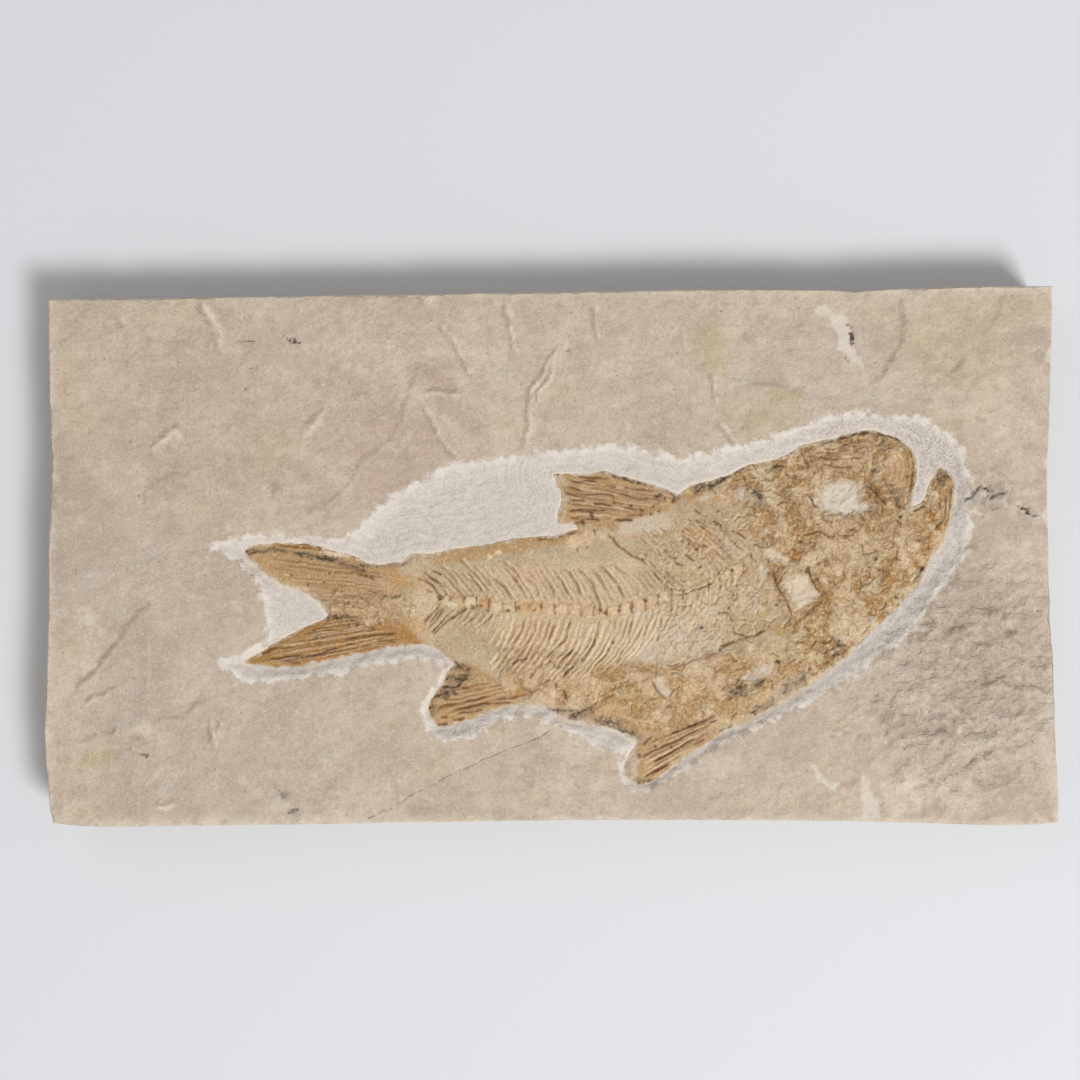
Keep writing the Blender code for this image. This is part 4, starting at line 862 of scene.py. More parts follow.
# Dark grooves between bones and along rays: half width, strength, lines
SEAM_LINES = [
    # strong ones of the tail and fins
    (0.24, 1, [
        (-25.4, -10.2, -24.5, -9.9, -23, -9.85, -21.6, -9.6, -19.8, -9.4, -18.5, -9.3),
        (-34.6, -12.3, -33, -12.3, -31.5, -12.1, -29.5, -12, -28, -11.8, -26.8, -11.3, -24.8, -10.9),
        (-13.2, -16.9, -12.4, -17.3),
        (7, 9.9, 7.4, 9.5, 8.8, 9.4, 10, 8.95, 11.5, 8.7, 13.2, 8.15, 14.2, 7.7),
        (14.2, 7.7, 14.8, 7, 14.5, 6.4), (4.8, 6.3, 6.2, 6.2, 7.4, 6),
        (7.6, 4.6, 8.3, 4.3, 9, 4.4, 9.7, 4.3), (1.8, 5.35, 3, 5.5, 4.5, 5.4, 5.5, 5.5, 6.8, 5.4),
        (14.3, -25, 13, -25.6, 12, -26, 11, -26.6),
        (17.5, -21.8, 15.3, -22.9, 14, -23.7, 12.9, -24.4, 11.9, -24.8), (3.4, 4.3, 3.8, 4),
        (19.6, -19.3, 18.6, -19.8, 17, -20.4, 15.5, -20.9, 14, -21.6),
        (31.6, 13.2, 33, 13.6, 34.2, 14, 36.2, 14.6, 38.3, 14.85, 39.3, 14.7, 40.5, 14.4, 41.5, 14, 43,
         13.1)]),
    (0.2, 0.85, [
        (-21.2, -10.1, -19.8, -10.15, -18.7, -10.45), (-24.9, -10.7, -23, -10.4), (-28.9, -9, -28.5, -8.9),
        (-27.5, -8.9, -25, -8.9), (-28.7, -10, -28, -9.4), (-28.6, -10.6, -27.8, -10.4),
        (-35, -11.8, -33.8, -11.5), (-34.4, -11.6, -33.4, -11.1, -32, -11, -30.8, -11),
        (-32.4, -12.6, -31.4, -12.7, -30.9, -13.1), (-31.2, -12.5, -30.4, -12.9),
        (-23.3, -2, -22.2, -2.5, -21.3, -2.9), (3, 9.6, 5, 9.35, 6.9, 9.3),
        (1.9, 9, 3, 8.9, 4.3, 9.1, 5.8, 8.7), (8.5, 8.3, 9.2, 8.1, 10.4, 7.95, 12.2, 7.8), (2, 8.2, 3.3, 8),
        (6.3, 8.5, 7.7, 8.3), (1.4, 7.8, 1.9, 7.4, 2.8, 7.35, 4.5, 7.4, 6, 7.4, 7, 7.35, 7.7, 7),
        (7.7, 7.5, 9, 7.3, 10, 7, 12, 6.9), (7.1, 7.5, 7.5, 6.7, 7.5, 6.2), (2, 6.6, 3.6, 6.7, 4, 6.4),
        (2.2, 4.6, 3.3, 4.4), (2.7, 4, 4.1, 4), (4.1, 4.5, 5.7, 4.4), (9, 4.9, 10.2, 5, 11, 4.9),
        (8.5, 5.95, 9.2, 5.8, 10.4, 5.5), (0.5, 9.8, 1, 9.85), (4.9, 9.4, 5.1, 8.9),
        (-10.9, -15.7, -9.8, -16),
        (-14, -18.7, -13.3, -18.1, -12.2, -17.9, -11, -17.6, -9.5, -17.3, -8.2, -17, -7.3, -17),
        (-12.6, -18.9, -11.6, -18.6, -10, -18.2, -8.5, -17.8, -7.2, -17.8, -4.6, -17.7),
        (-11.4, -19.1, -10.6, -18.9, -9.6, -18.8, -8.2, -18.4), (-6.8, -17.3, -5, -17.1, -3.9, -16.7),
        (-13.4, -19.4, -12.6, -19.4), (-12, -19.8, -10.5, -19.5), (-13.8, -20.4, -12.5, -20.2),
        (19.9, -19.6, 19, -20.1), (17.8, -20.9, 16.5, -21.4, 15.2, -22.1, 14, -22.6, 12.6, -23),
        (16.8, -22.8, 18.4, -22), (10.8, -22.7, 11.4, -22.2, 12, -21.7), (-2, 1.9, 0, 2.2, 2, 2.6, 3, 3)]),
    # tail edge, hypural fan and the thin lines below the dorsal fin
    (0.15, 0.8, [
        (-33.8, 1.3, -32, 1.2, -30, 1.45, -29.2, 1.35, -28.3, 1.05, -27, 0.7, -25.2, 0.45, -24.3, 0),
        (-24.2, 0, -23, -0.3, -22.6, -0.7), (-31.3, 1.1, -29, 1, -27.6, 0.6), (-24.4, -1.9, -22.8, -2.1),
        (-13.4, -5, -14.4, -3.6, -15.7, -2.8, -16.3, -2.5), (-13.6, -3.5, -15, -2.2, -15.6, -1.8),
        (-13.2, -2.4, -14.6, -1.6), (-14.4, -4.5, -15.3, -4),
        (-13.3, -5.6, -14.2, -6.6, -15, -7.4, -15.4, -8.3), (-13, -6.4, -14.6, -8.4, -15, -9),
        (-13.2, -7.8, -14.4, -9.3), (-13, -6.2, -14, -7.1, -14.9, -8),
        (-12.4, -6.9, -13.5, -8.2, -14.6, -9.2), (-11.2, -6.8, -12.7, -7.9, -14.2, -9.5),
        (-10.2, -6.3, -11.4, -7, -12, -7.6), (-14.6, -1.7, -13.2, -2.3),
        (-14.9, -2.4, -13.5, -3.2, -12.6, -3.9), (-14.9, -3.1, -13.9, -3.8),
        (6.5, 2.9, 6.9, 2.4, 7.3, 2.2, 7.4, 1.8, 8, 1.1, 9, 0.5, 9.6, 0, 10.9, -0.6), (5, 3.3, 5.3, 2.4),
        (3, 0.9, 3, 0.3)]),
    # shoulder
    (0.17, 0.95, [
        (19.4, 4.4, 20.4, 3.5), (17.9, 3.7, 18.5, 3.2), (21.5, 3, 22.3, 2.7, 23.3, 2.1),
        (13.7, 0.2, 14.9, -0.4), (14.9, -0.7, 15.7, -1.2), (15.9, 0.1, 16.3, 0, 17.1, -0.7),
        (14.2, -3.8, 14.4, -4.4), (23.9, 0.4, 24.1, -0.5),
        (19.7, -6.95, 20.6, -6.85, 21.2, -7.1, 21.6, -7.6, 21.4, -8.1),
        (20.1, -10.9, 21.2, -10.5, 22, -10.2),
        (21.8, -8.2, 21.8, -9, 22, -9.4, 22.7, -9.4, 23.5, -9.7, 24.3, -9.5, 25.8, -8.85),
        (14.5, -4.6, 16.2, -4.5, 17, -4, 17.8, -3.9, 18.9, -3.5, 19.5, -3), (10.9, -5, 11.2, -5.8)]),
    (0.13, 0.7, [
        (16, 3.4, 17, 2.7), (17.1, 5.6, 18, 4.9), (17.2, 4.4, 17.8, 3.9), (16.2, 4.5, 16.7, 4.1),
        (19.9, 5.6, 20.6, 5.1), (21.4, 1.9, 22.2, 1.4), (17.2, 1.6, 18, 1.1), (12.1, -1.9, 13, -2.9),
        (13.6, -1.7, 14.6, -2.5), (19.5, -2.9, 19.2, -3.2), (17.1, -2.6, 17.3, -2.9),
        (15.5, -3.3, 15.7, -3.7), (12.6, -4.6, 12.9, -4.9), (14.3, -5.7, 14.4, -6.7),
        (19.9, -5.1, 19.6, -6), (22.1, -3.3, 22.4, -4.2), (22.9, -0.6, 23.1, -1.2),
        (16.1, -9.9, 16.8, -9.4), (17.8, -12.3, 18.5, -11.8)]),
    # skull roof, snout and jaw
    (0.16, 0.8, [
        (32.5, 12.9, 34, 12.8, 35.4, 13.4, 36.4, 13.6, 38, 13.7), (31.5, 12.4, 33, 12.4, 34.3, 12.2),
        (30.3, 12, 31.5, 12, 33.5, 11.6, 36, 11.7, 37.8, 11.9), (33.5, 10.6, 36.5, 10.7),
        (24, 11.2, 24.4, 10.8, 24.7, 10.3), (42.9, 12.8, 43.4, 11.4, 43.5, 10, 43.2, 8.4, 43.1, 7.4),
        (42.6, 12.2, 42.8, 10.6, 42.6, 9), (38.2, 10.4, 39.2, 10.1, 39.5, 10.3),
        (28, 10.2, 28.6, 9.4, 30, 9.2), (30.4, 11.6, 30.8, 10.8, 30.6, 9.8), (26.9, 6, 28, 6.6),
        (24.2, 1.4, 25.8, 1, 26.6, 1.5), (30.2, 2.4, 31.5, 2.8, 32.5, 2.9, 33.2, 2.4, 34.2, 2.3),
        (34.6, 2.4, 36, 2.4), (29.5, 1.6, 30.2, 1.9), (28.8, 1, 29.4, 0.5), (31.9, 0, 31.7, -0.6),
        (30.4, -1.6, 31, -2.2), (37.2, 0.2, 38.6, 0.4, 39.3, 0.9), (42.5, 2, 42.7, 1.2),
        (45, 0.3, 45.3, 1.2), (44.9, 0.3, 45.3, -0.1), (41.2, -0.1, 41.6, -0.4, 42.1, -0.5),
        (38, -1.2, 38.3, -1.5, 38.9, -1.2), (39.3, -4.7, 39.9, -4.1, 40.7, -3.8),
        (37, -3.4, 38, -3.3, 38.5, -2.9, 39.1, -2.3), (37.1, -9.5, 37.9, -8.8), (31.6, -11.9, 32.2, -11.3),
        (33.4, -12.2, 34.5, -11.9, 35.6, -11.2), (32.6, -13, 33.4, -12.6),
        (47.3, 7.6, 47.3, 5.6, 47.1, 4.2), (47.9, 8.5, 48, 6.5, 47.8, 5, 47.4, 3.6), (46.7, 7, 46.6, 5.6),
        (45, 7.2, 46, 7.1), (29.8, -4.9, 31.8, -4.9), (36.9, 5.2, 37.4, 4.2), (35.4, 3.2, 37, 2.9),
        (41.3, -6.2, 41.8, -5.7), (32.5, -4.2, 33.1, -4.7)]),
    (0.22, 1, [
        (39.9, 9.7, 40.2, 8.8, 40.9, 7.4, 41.6, 6.2, 42, 5.4), (30.5, 7.6, 31.3, 6.8, 31.5, 6, 32.3, 5.8),
        (43.4, 5.2, 44.2, 5.7, 45.1, 6.1), (30.6, -1.4, 31.5, -3.3, 32.3, -4.5), (41.7, 4.7, 42.1, 4.6),
        (26.3, -1.6, 26.8, -2.7, 27.1, -3.8, 27.9, -4.9, 28.4, -6, 28.9, -7.1), (41.2, -5.1, 41.8, -5.1),
        (29.1, -10.6, 29.8, -10.4, 30.5, -10.5), (32.3, -10.3, 33, -10.4, 33.6, -10.2, 33.9, -9.6),
        (12.1, -15, 12.4, -15.6, 12.9, -16.4, 13.8, -17.2), (37.4, 8.9, 38.6, 7.9, 39.6, 6.9, 40.4, 5.9)]),
    (0.14, 0.75, [
        (40.9, 8.1, 41.5, 6.8, 42.2, 5.6), (38.2, 8.9, 39.4, 7.6, 40.2, 6.6), (38.4, 7.2, 39.3, 6.3),
        (30.9, -1.8, 32.4, -3.5), (14.7, -16, 14.1, -17), (23.5, 7.8, 23.5, 7.1)]),
    # flaky ground behind the belly
    (0.17, 0.85, [
        (-4.1, -12.6, -3, -12.2), (-3, -12.3, -4, -12.5, -4.8, -13.2, -5.6, -13.8),
        (-1.5, -13.5, -1.4, -13.2), (-0.6, -12.2, 0.2, -11.4), (1.2, -12.4, 2.6, -11.1),
        (0.4, -13.4, 0.9, -12.9), (0.4, -16, 0.5, -15.2), (1.2, -14.8, 1.6, -14, 2.6, -13.2),
        (-2.7, -14.8, -2.3, -14.2), (1.3, -16, 1.8, -17.3), (-1, -15.4, -0.2, -14.8)]),
]

# Pale ridges of bone: half width, strength, lines
BONE_LINES = [
    (0.3, 0.8, [(18.6, -21, 14.2, -23.3, 11.2, -25), (16.4, -23, 13.2, -25, 10.5, -26.8)]),
    (0.4, 0.7, [
        (16.5, -6.3, 18.5, -4.7, 19.5, -3.9), (17.3, -7.3, 18.7, -6, 19.6, -4.5), (15.3, -5.3, 15.4, -8.8),
        (16.4, -8.7, 17.3, -7), (4.8, -8, 4.6, -10, 3.4, -12)]),
    (0.2, 0.9, [
        (40.2, 11.9, 40.8, 12.4, 41.6, 13), (47.6, 7.2, 47.6, 5.4), (40.4, 8.8, 41.2, 7.2, 41.9, 5.8),
        (-37, 1.2, -35.5, 1.4), (21.3, -11.2, 22.6, -13), (47.2, 3.6, 46.4, 1.2, 45, -1.4)]),
    (0.25, 0.6, [
        (-7.1, -8, -7.6, -8.5, -8.5, -8.9), (-5.1, -8.8, -5.6, -9.6, -6.9, -10.5),
        (-3.7, -8.4, -4.6, -10.2, -5.8, -11.2), (-13.6, -4.2, -15, -2.6), (-14, -5, -15.6, -3.6),
        (-13.8, -6.6, -15, -8), (-13.2, -7.2, -14.8, -8.8)]),
]

# The spines above the backbone and the ribs below it, as the dark groove beside each: strength, groove
SPINES = [
    (0.6, (-10, -2.7, -9.4, -3.1, -8.9, -3.7, -8.5, -4.3)), (0.45, (-11.2, -0.3, -10.3, -1.1, -10, -1.6)),
    (0.95, (-7.1, -2.6, -6.2, -3.3, -5.6, -4, -5, -5, -4.8, -5.3)), (0.6, (-8, -2.5, -7, -4, -6.5, -4.7)),
    (0.95, (-4.7, -2.6, -4, -3.3, -3.6, -4.1)), (0.6, (-3, -2.6, -2.4, -3.2, -1.9, -4, -1.6, -5)),
    (0.95, (-1.1, -2.2, -0.7, -2.8, -0.2, -3.8, 0.1, -4.3, 0.3, -5.2)),
    (1, (0.5, -2.2, 1.1, -3, 1.6, -4, 1.9, -4.9)),
    (0.9, (1.4, -1.4, 2.2, -2.2, 2.8, -3.1, 3.1, -3.8, 3.4, -5)),
    (0.6, (5, -1.9, 5.8, -2.8, 6.4, -3.8, 6.8, -4.6)),
    (1, (3.1, -1.4, 3.8, -2.2, 4.6, -3, 5.1, -4, 5.5, -5, 5.7, -6, 5.7, -7.5)),
    (0.95, (5.6, -1, 6.4, -1.8, 7, -2.4, 7.7, -3.2, 8.3, -4.2, 8.7, -5)),
    (0.6, (7.3, -0.9, 7.8, -1.5, 8.6, -2, 9, -2.2)), (0.6, (9.8, -3.3, 10.1, -4, 10.4, -4.8)),
    (0.7, (9.9, -0.1, 10.9, -0.6, 11.3, -1)), (0.35, (-12.6, -2, -11.6, -3, -11.2, -4)),
    (0.35, (-13.6, -1, -12.4, -1.8)), (0.4, (-6, -0.6, -5, -1.4, -4.4, -2)),
]
RIBS = [
    (0.8, (-3.3, -7.6, -3.6, -9, -4.3, -10, -5.4, -11)),
    (0.7, (-1.9, -8, -2.2, -9.4, -3, -10.4, -3.9, -11.2)), (0.75, (0.3, -8.3, -0.1, -9.4, -0.7, -10.3)),
    (1, (2.3, -7.4, 1.9, -8.8, 1.6, -10, 0.8, -10.7, -0.7, -12.3)),
    (0.75, (4, -7.8, 3.7, -9.2, 3.4, -9.8, 2.9, -9.8)), (1, (2.7, -11, 1.7, -12, 0.6, -13)),
    (1, (5.7, -7.5, 5.4, -9, 5.1, -10.3, 4.5, -11.3, 3.6, -12.4, 3, -13)),
    (0.75, (9.6, -7.8, 9.4, -9, 9.1, -10.2)), (0.8, (8.6, -11.3, 8, -12.3, 7.5, -13)),
    (0.8, (7, -10.9, 6.4, -11.8, 5, -13.5)), (0.6, (7.6, -7.6, 7.4, -9.4, 7, -10.6)),
    (0.5, (11.4, -7.2, 11.2, -9, 10.6, -10.8)), (0.5, (13, -6.8, 13, -8.6, 12.4, -10.4)),
    (0.4, (-5.4, -7.8, -6, -9)), (0.5, (-7, -6.9, -8, -7.9, -9, -8.6)), (0.35, (-9.4, -7.4, -10.8, -8.4)),
]

# Where the pale bone lies beside its groove
SPINE_ASIDE = (0.36, 0.16)
RIB_ASIDE = (-0.36, 0.05)

# Small dark marks along the backbone and elsewhere: tint, strength, then x, y and radius of each
SPOTS = [
    ("ink", 0.85, [
        (-23.1, -1.1, 0.2), (-22.1, -1.2, 0.2), (-21, -1.2, 0.2), (-20, -0.9, 0.18), (-19, -0.7, 0.16),
        (-18, -0.9, 0.2), (-26.2, -7.4, 0.3), (-27, -7.6, 0.2), (-24.7, -7.2, 0.2), (-25.8, -7.6, 0.2),
        (-23.4, -8.3, 0.25), (-20.8, -8.1, 0.18), (4.8, 4.95, 0.28), (12.5, 7.15, 0.22), (12.9, 7.4, 0.16),
        (6.9, 10.1, 0.2), (8.8, -25.4, 0.25), (10.2, -27.5, 0.2), (22.5, -15.8, 0.32), (21.4, -17.2, 0.2),
        (24.6, -14.9, 0.18), (27.1, -12.8, 0.28), (38.9, 10.4, 0.2), (41.9, 4.7, 0.16), (39, -0.4, 0.14),
        (20.1, -2, 0.16), (18, -8.6, 0.2), (9.5, -21.7, 0.2), (2.8, -19.4, 0.2), (34.6, -10.3, 0.2),
        (6.4, -6.75, 0.3), (24.4, -19, 0.18), (15.4, 7.8, 0.18)]),
    ("seam", 0.8, [
        (-19.9, -4.8, 0.16), (-17.7, -5.1, 0.16), (-22.9, -5.1, 0.16), (-24.6, -5.6, 0.16),
        (-23.9, -6.1, 0.16), (-25, -5.8, 0.16), (-35.4, -1.4, 0.2), (-31.4, -2.3, 0.18),
        (-29.3, -3.4, 0.18), (-27.4, -3.1, 0.16), (-26.9, -2, 0.16), (9.5, 6.05, 0.2), (13.6, 6.9, 0.18),
        (12.2, 5.9, 0.18), (11.9, 5, 0.18), (12.8, 5.3, 0.18), (12.4, -22.9, 0.25), (14.2, -22.9, 0.2),
        (10.4, -24, 0.28), (4.2, 1, 0.16), (18.3, 1.2, 0.18), (16.4, 1.4, 0.18), (17.4, 0.9, 0.16),
        (17.7, -1.4, 0.2), (10.8, -0.5, 0.2), (11.3, 0.1, 0.16), (21.6, -1.7, 0.2), (21.4, -4.2, 0.18),
        (21.3, -6.3, 0.18), (20.2, -11.3, 0.2), (27.3, -5.3, 0.2), (27, -5.9, 0.2), (25.9, -2.2, 0.2),
        (30.7, -1.6, 0.32), (7.3, -10.4, 0.2), (-13.4, -5, 0.3), (-8.5, -6, 0.2), (44.6, -1.7, 0.3),
        (31, -13.6, 0.2), (10.7, 5.5, 0.3), (-5.3, -6.5, 0.28), (-4.1, -6.3, 0.22), (-2.1, -6.5, 0.2),
        (-1.3, -6.1, 0.2), (5.7, -6.4, 0.22), (8.1, -6.6, 0.2), (9.65, -6.1, 0.26), (11.2, -5.4, 0.22),
        (-9.5, -6.15, 0.25), (-7.6, -6.6, 0.22)]),
    ("pale", 0.9, [
        (-22.2, -8.2, 0.25), (34.9, -9.8, 0.25), (33.9, -11.6, 0.25), (34.5, -11.2, 0.2), (25.1, -1.6, 0.3),
        (31.7, 6.5, 0.3), (38.5, -7.5, 0.3), (-12.2, -5.8, 0.25), (23.2, -14.6, 0.3)]),
]

# Chips of pale bone that stand out: corners
CHIPS = [
    (12.1, -14.7, 12.9, -14.6, 13.4, -14.6, 13.9, -15.6, 14.4, -16.3, 14, -16.9, 13.7, -17, 12.9, -16.2,
     12.5, -15.4),
    (23.5, -10.6, 24.2, -10.5, 24.5, -11.4, 23.7, -11.8),
    (25.4, -13.5, 26.5, -13.3, 26.4, -13.9, 25.5, -14.1),
    (25.7, 0.7, 27, 0.8, 27.7, 0.3, 28.6, -0.3, 28.2, -0.9, 27.2, -0.8, 26.4, -0.3, 25.4, -0.2),
    (28, -2.5, 29.8, -2, 30.7, -2.7, 32.1, -4.6, 31.7, -5.3, 29.6, -6.3, 28.9, -5.6, 27.9, -3.6),
]

# The eye's ragged orbit and the smooth plate of the snout: corners
ORBIT = (32.1, 6.4, 32.4, 7.6, 33.3, 8.5, 34.8, 8.9, 36.2, 8.7, 36.9, 8, 37.2, 7, 37.1, 6.3, 38.3, 6.1, 38,
         5.4, 36.5, 5.3, 35, 4.9, 33.3, 5.1, 32.5, 5.6)
EYE = (34.8, 6.8)
ORBIT_SPECKS = 34
SNOUT = (40.2, 9, 40, 10, 40.6, 11.4, 41.6, 12.2, 42.6, 11.8, 43, 10, 42.8, 8.2, 41.8, 8, 41, 8.4)

# The broken bone of head and belly, and the thin bones behind the gill: corners
HEAD = (15.4, 8.4, 23, 11.4, 32, 14.2, 38.5, 15, 43.4, 13, 43.2, 7, 46.6, 10.2, 48.2, 8, 45.4, 0, 42.6,
        -4.5, 37.6, -9.4, 31, -14.6, 26, -17.8, 18, -19.4, 5, -18.4, 4, -13.6, 20, -12, 28, -9, 26, -2,
        24.6, 2, 22, 5.6)
GILL = (13, 3.6, 22, 5.4, 25.6, 1, 27.6, -4, 26.6, -8.6, 20, -11.6, 13, -12, 12, -6)

# Fine wandering grooves: corners, places tried in their box, strength of the dark and the pale, seed
FINE_LINES = ((HEAD, 900, 1.0, 1.0, 21), (GILL, 420, 0.7, 1.15, 23))

# How many thin bones are scattered above the backbone behind the skull, and behind the gill
SHOULDER_LINES = 70
GILL_LINES = 30

# The broken bone's lumps: size, seed, strength
BONE_LUMPS = ((3.0, 120, 0.9), (1.7, 130, 1.0), (0.9, 140, 0.6))

# Fins: root line, tip line, ray count, depth of the grooves
FINS = [
    ((-20.2, -2.2, -22.8, -6.6), (-36.8, 0.2, -34, -2.3, -31, -3.8, -27.2, -6.6), 26, 0.3),
    ((-23, -7.2, -18.6, -10.8), (-27.2, -7.8, -31, -9.8, -36.4, -12.7, -32, -13.2), 26, 0.6),
    ((7.2, 4.2, 14.8, 7.2), (1.2, 4.3, 1.2, 7, 0.6, 9.7), 22, 0.4),
    ((-10, -14.2, -3, -17), (-12.6, -14.4, -14.3, -17.6, -13.4, -20.2), 18, 0.4),
    ((19.4, -19.2, 17.8, -22.2), (11, -22.8, 9.4, -25, 11.6, -27.2), 16, 0.45),
]


def backbone(fish, draw):
    """Vertebrae: low blocks with a groove between each two, and pale stubs above and below."""
    column = smooth_curve(BACKBONE, 0.5)
    for number in range(VERTEBRA_COUNT):
        x, y = at_share(column, (number + 0.5) / VERTEBRA_COUNT)
        glow = 0.9 if -9.3 < x < -7.0 or -4.6 < x < -0.8 else draw.uniform(0.1, 0.5)
        fish.patch(x, y, 0.75, 0.6, 0.0, rise=0.16, rough=0.35, seed=number, orange=glow,
                   cream=draw.uniform(0.4, 0.9) * (1.2 - glow))
        fish.stroke([(x + 0.72, y + 0.8), (x + 0.62, y), (x + 0.7, y - 0.75)], 0.2, rise=-0.14,
                    brown=draw.uniform(0.4, 0.9), seam=draw.uniform(0.2, 0.8))
        for side in (1.0, -1.0):
            line = [(x - 0.1, y + 0.5 * side), (x - 0.6, y + 1.3 * side)]
            fish.stroke(line, 0.24, rise=0.09, cream=draw.uniform(0.2, 0.7))
            fish.specks(draw, x + 0.2, y + 0.7 * side, 0.5, 0.3, 0.0, 3, orange=0.8, brown=0.6)


def faint_bones(fish, draw):
    """The weaker spines and ribs that repeat along the whole backbone."""
    column = smooth_curve(BACKBONE, 0.5)
    for number in range(2 * VERTEBRA_COUNT):
        x, y = at_share(column, (number + 0.2) / (2 * VERTEBRA_COUNT))
        reach = 2.6 + 2.6 * smoothstep((x + 14.0) / 10.0) * smoothstep((16.0 - x) / 8.0)
        reach += draw.uniform(-0.5, 0.5)
        lean = 0.62 - 0.2 * smoothstep((x + 10.0) / 10.0) + 0.3 * smoothstep((x - 8.0) / 8.0)
        rise = np.linspace(0.7, reach, 6)
        line = np.column_stack([x - lean * rise**1.2, y + rise])
        strength = draw.uniform(0.15, 0.7)
        fish.stroke(line, 0.24, broken=0.6, brown=0.5 * strength)
        fish.stroke(line, 0.12, rise=-0.08, broken=0.6, seam=strength)
        fish.stroke(line + (0.3, 0.1), 0.22, rise=0.1, broken=0.5, cream=draw.uniform(0.2, 0.8))
        reach = 2.4 + 6.2 * smoothstep((x + 9.0) / 8.0) * smoothstep((18.0 - x) / 6.0)
        reach += draw.uniform(-1.0, 0.6)
        fall = np.linspace(0.8, reach, 8)
        sweep = 0.08 + 0.3 * smoothstep((-5.0 - x) / 5.0)
        line = np.column_stack([x - sweep * fall ** (1.9 - 0.5 * smoothstep((-5.0 - x) / 5.0)), y - fall])
        solid = 0.4 + 0.6 * smoothstep((x + 7.0) / 3.0)
        fish.stroke(line, 0.12, rise=-0.09, broken=0.5, seam=solid * draw.uniform(0.1, 0.55))
        fish.stroke(line - (0.34, 0.0), 0.3, rise=0.14, broken=0.3, cream=solid * draw.uniform(0.6, 1.3))


def bones_beside(fish, grooves, aside):
    """Long thin bones: a dark groove along each, the pale bone beside it and a fainter line beyond."""
    for strength, groove in grooves:
        line = smooth_curve(groove, 0.5)
        fish.stroke(line + np.array(aside), 0.36, rise=0.18, broken=0.25, cream=0.45 + 0.4 * strength)
        fish.stroke(line - 0.8 * np.array(aside), 0.28, rise=0.1, cream=0.4 * strength)
        fish.stroke(line, 0.3, broken=0.5, brown=0.55 * strength)
        fish.stroke(line, 0.15 + 0.04 * strength, rise=-0.16, broken=0.4, seam=0.65 * strength)


def fin_rays(fish, draw):
    """Every fin's rays: thin pale ridges with brown grooves of uneven strength between them."""
    for root, tips, count, depth in FINS:
        root, tips = smooth_curve(root, 0.4), smooth_curve(tips, 0.4)
        for number in range(count):
            share = np.clip((number + 0.5 + draw.uniform(-0.3, 0.3)) / count, 0.0, 1.0)
            start, end = at_share(root, share), at_share(tips, share)
            start = start + (start - end) * draw.uniform(-0.05, 0.12)
            end = end + (start - end) * draw.uniform(0.0, 0.25)
            middle = (start + end) / 2 + draw.uniform(-0.2, 0.2, 2)
            line = smooth_curve([start, middle, end], 0.8)
            if number % 2:
                fish.stroke(line, 0.26, rise=0.1, broken=0.6, cream=draw.uniform(0.3, 1.5) * min(depth, 0.38))
            else:
                fish.stroke(line, 0.34, broken=0.7, brown=draw.uniform(0.6, 2.0) * depth)
                fish.stroke(line, 0.17, rise=-0.09, broken=0.8, seam=depth * draw.uniform(0.4, 1.3))


def shoulder_lines(fish, draw):
    """The close thin bones between the dorsal fin, the skull and the backbone, and those behind the gill."""
    for number in range(SHOULDER_LINES):
        along = number / (SHOULDER_LINES - 1)
        x = 11.0 + 12.0 * along + draw.uniform(-0.3, 0.3)
        y = -0.6 + 3.4 * math.sin(2.4 * along + 0.3) + draw.uniform(-2.0, 1.6)
        length = draw.uniform(0.6, 2.0)
        line = [(x - 0.5 * length, y + 0.4 * length), (x, y), (x + 0.5 * length, y - 0.45 * length)]
        fish.stroke(line, 0.24, broken=0.6, brown=draw.uniform(0.1, 0.5))
        fish.stroke(line, 0.12, rise=-0.07, seam=draw.uniform(0.1, 0.6))
        fish.stroke(np.array(line) + (0.22, 0.18), 0.18, rise=0.08, cream=draw.uniform(0.2, 0.7))
    for number in range(GILL_LINES):
        x, y = 11.0 + 10.0 * draw.random(), -5.6 - 7.6 * draw.random()
        length = draw.uniform(0.8, 2.6)
        line = [(x - 0.3 * length, y - 0.5 * length), (x, y), (x + 0.34 * length, y + 0.5 * length)]
        if number % 2:
            fish.stroke(line, 0.22, rise=0.07, cream=draw.uniform(0.3, 0.7))
        else:
            fish.stroke(line, 0.12, rise=-0.05, seam=draw.uniform(0.15, 0.45))


def broken_bone(fish):
    """Lumpy bone in flowing ridges, with brown grooves between them, cream where it is worn."""
    x, y = fish.bent_x, fish.bent_y
    broken = fish.tints["broken"]
    for size, seed, weight in BONE_LUMPS:
        bent_x = x + 0.45 * size * layered(x, y, 1.3 * size, seed + 1, 3)
        bent_y = y + 0.45 * size * layered(x, y, 1.3 * size, seed + 2, 3)
        value = layered(bent_x, bent_y, size, seed, 3)
        groove = smoothstep(1.0 - np.abs(value) / (0.28 / size**0.5))
        groove *= smoothstep(0.35 + 1.2 * layered(x, y, 2.6, seed + 5, 2))
        fish.height += weight * broken * (0.11 * value - 0.09 * groove)
        fish.tint("seam", slice(None), 0.45 * weight * broken * groove)
        fish.tint("cream", slice(None), 0.88 * weight * broken * smoothstep(value * 1.6 - 0.25))
        fish.tint("brown", slice(None), 0.26 * weight * broken * smoothstep(-value * 1.7 - 0.45))
        fish.tint("orange", slice(None), 0.3 * weight * broken * smoothstep(1.0 - np.abs(value + 0.35) / 0.2))


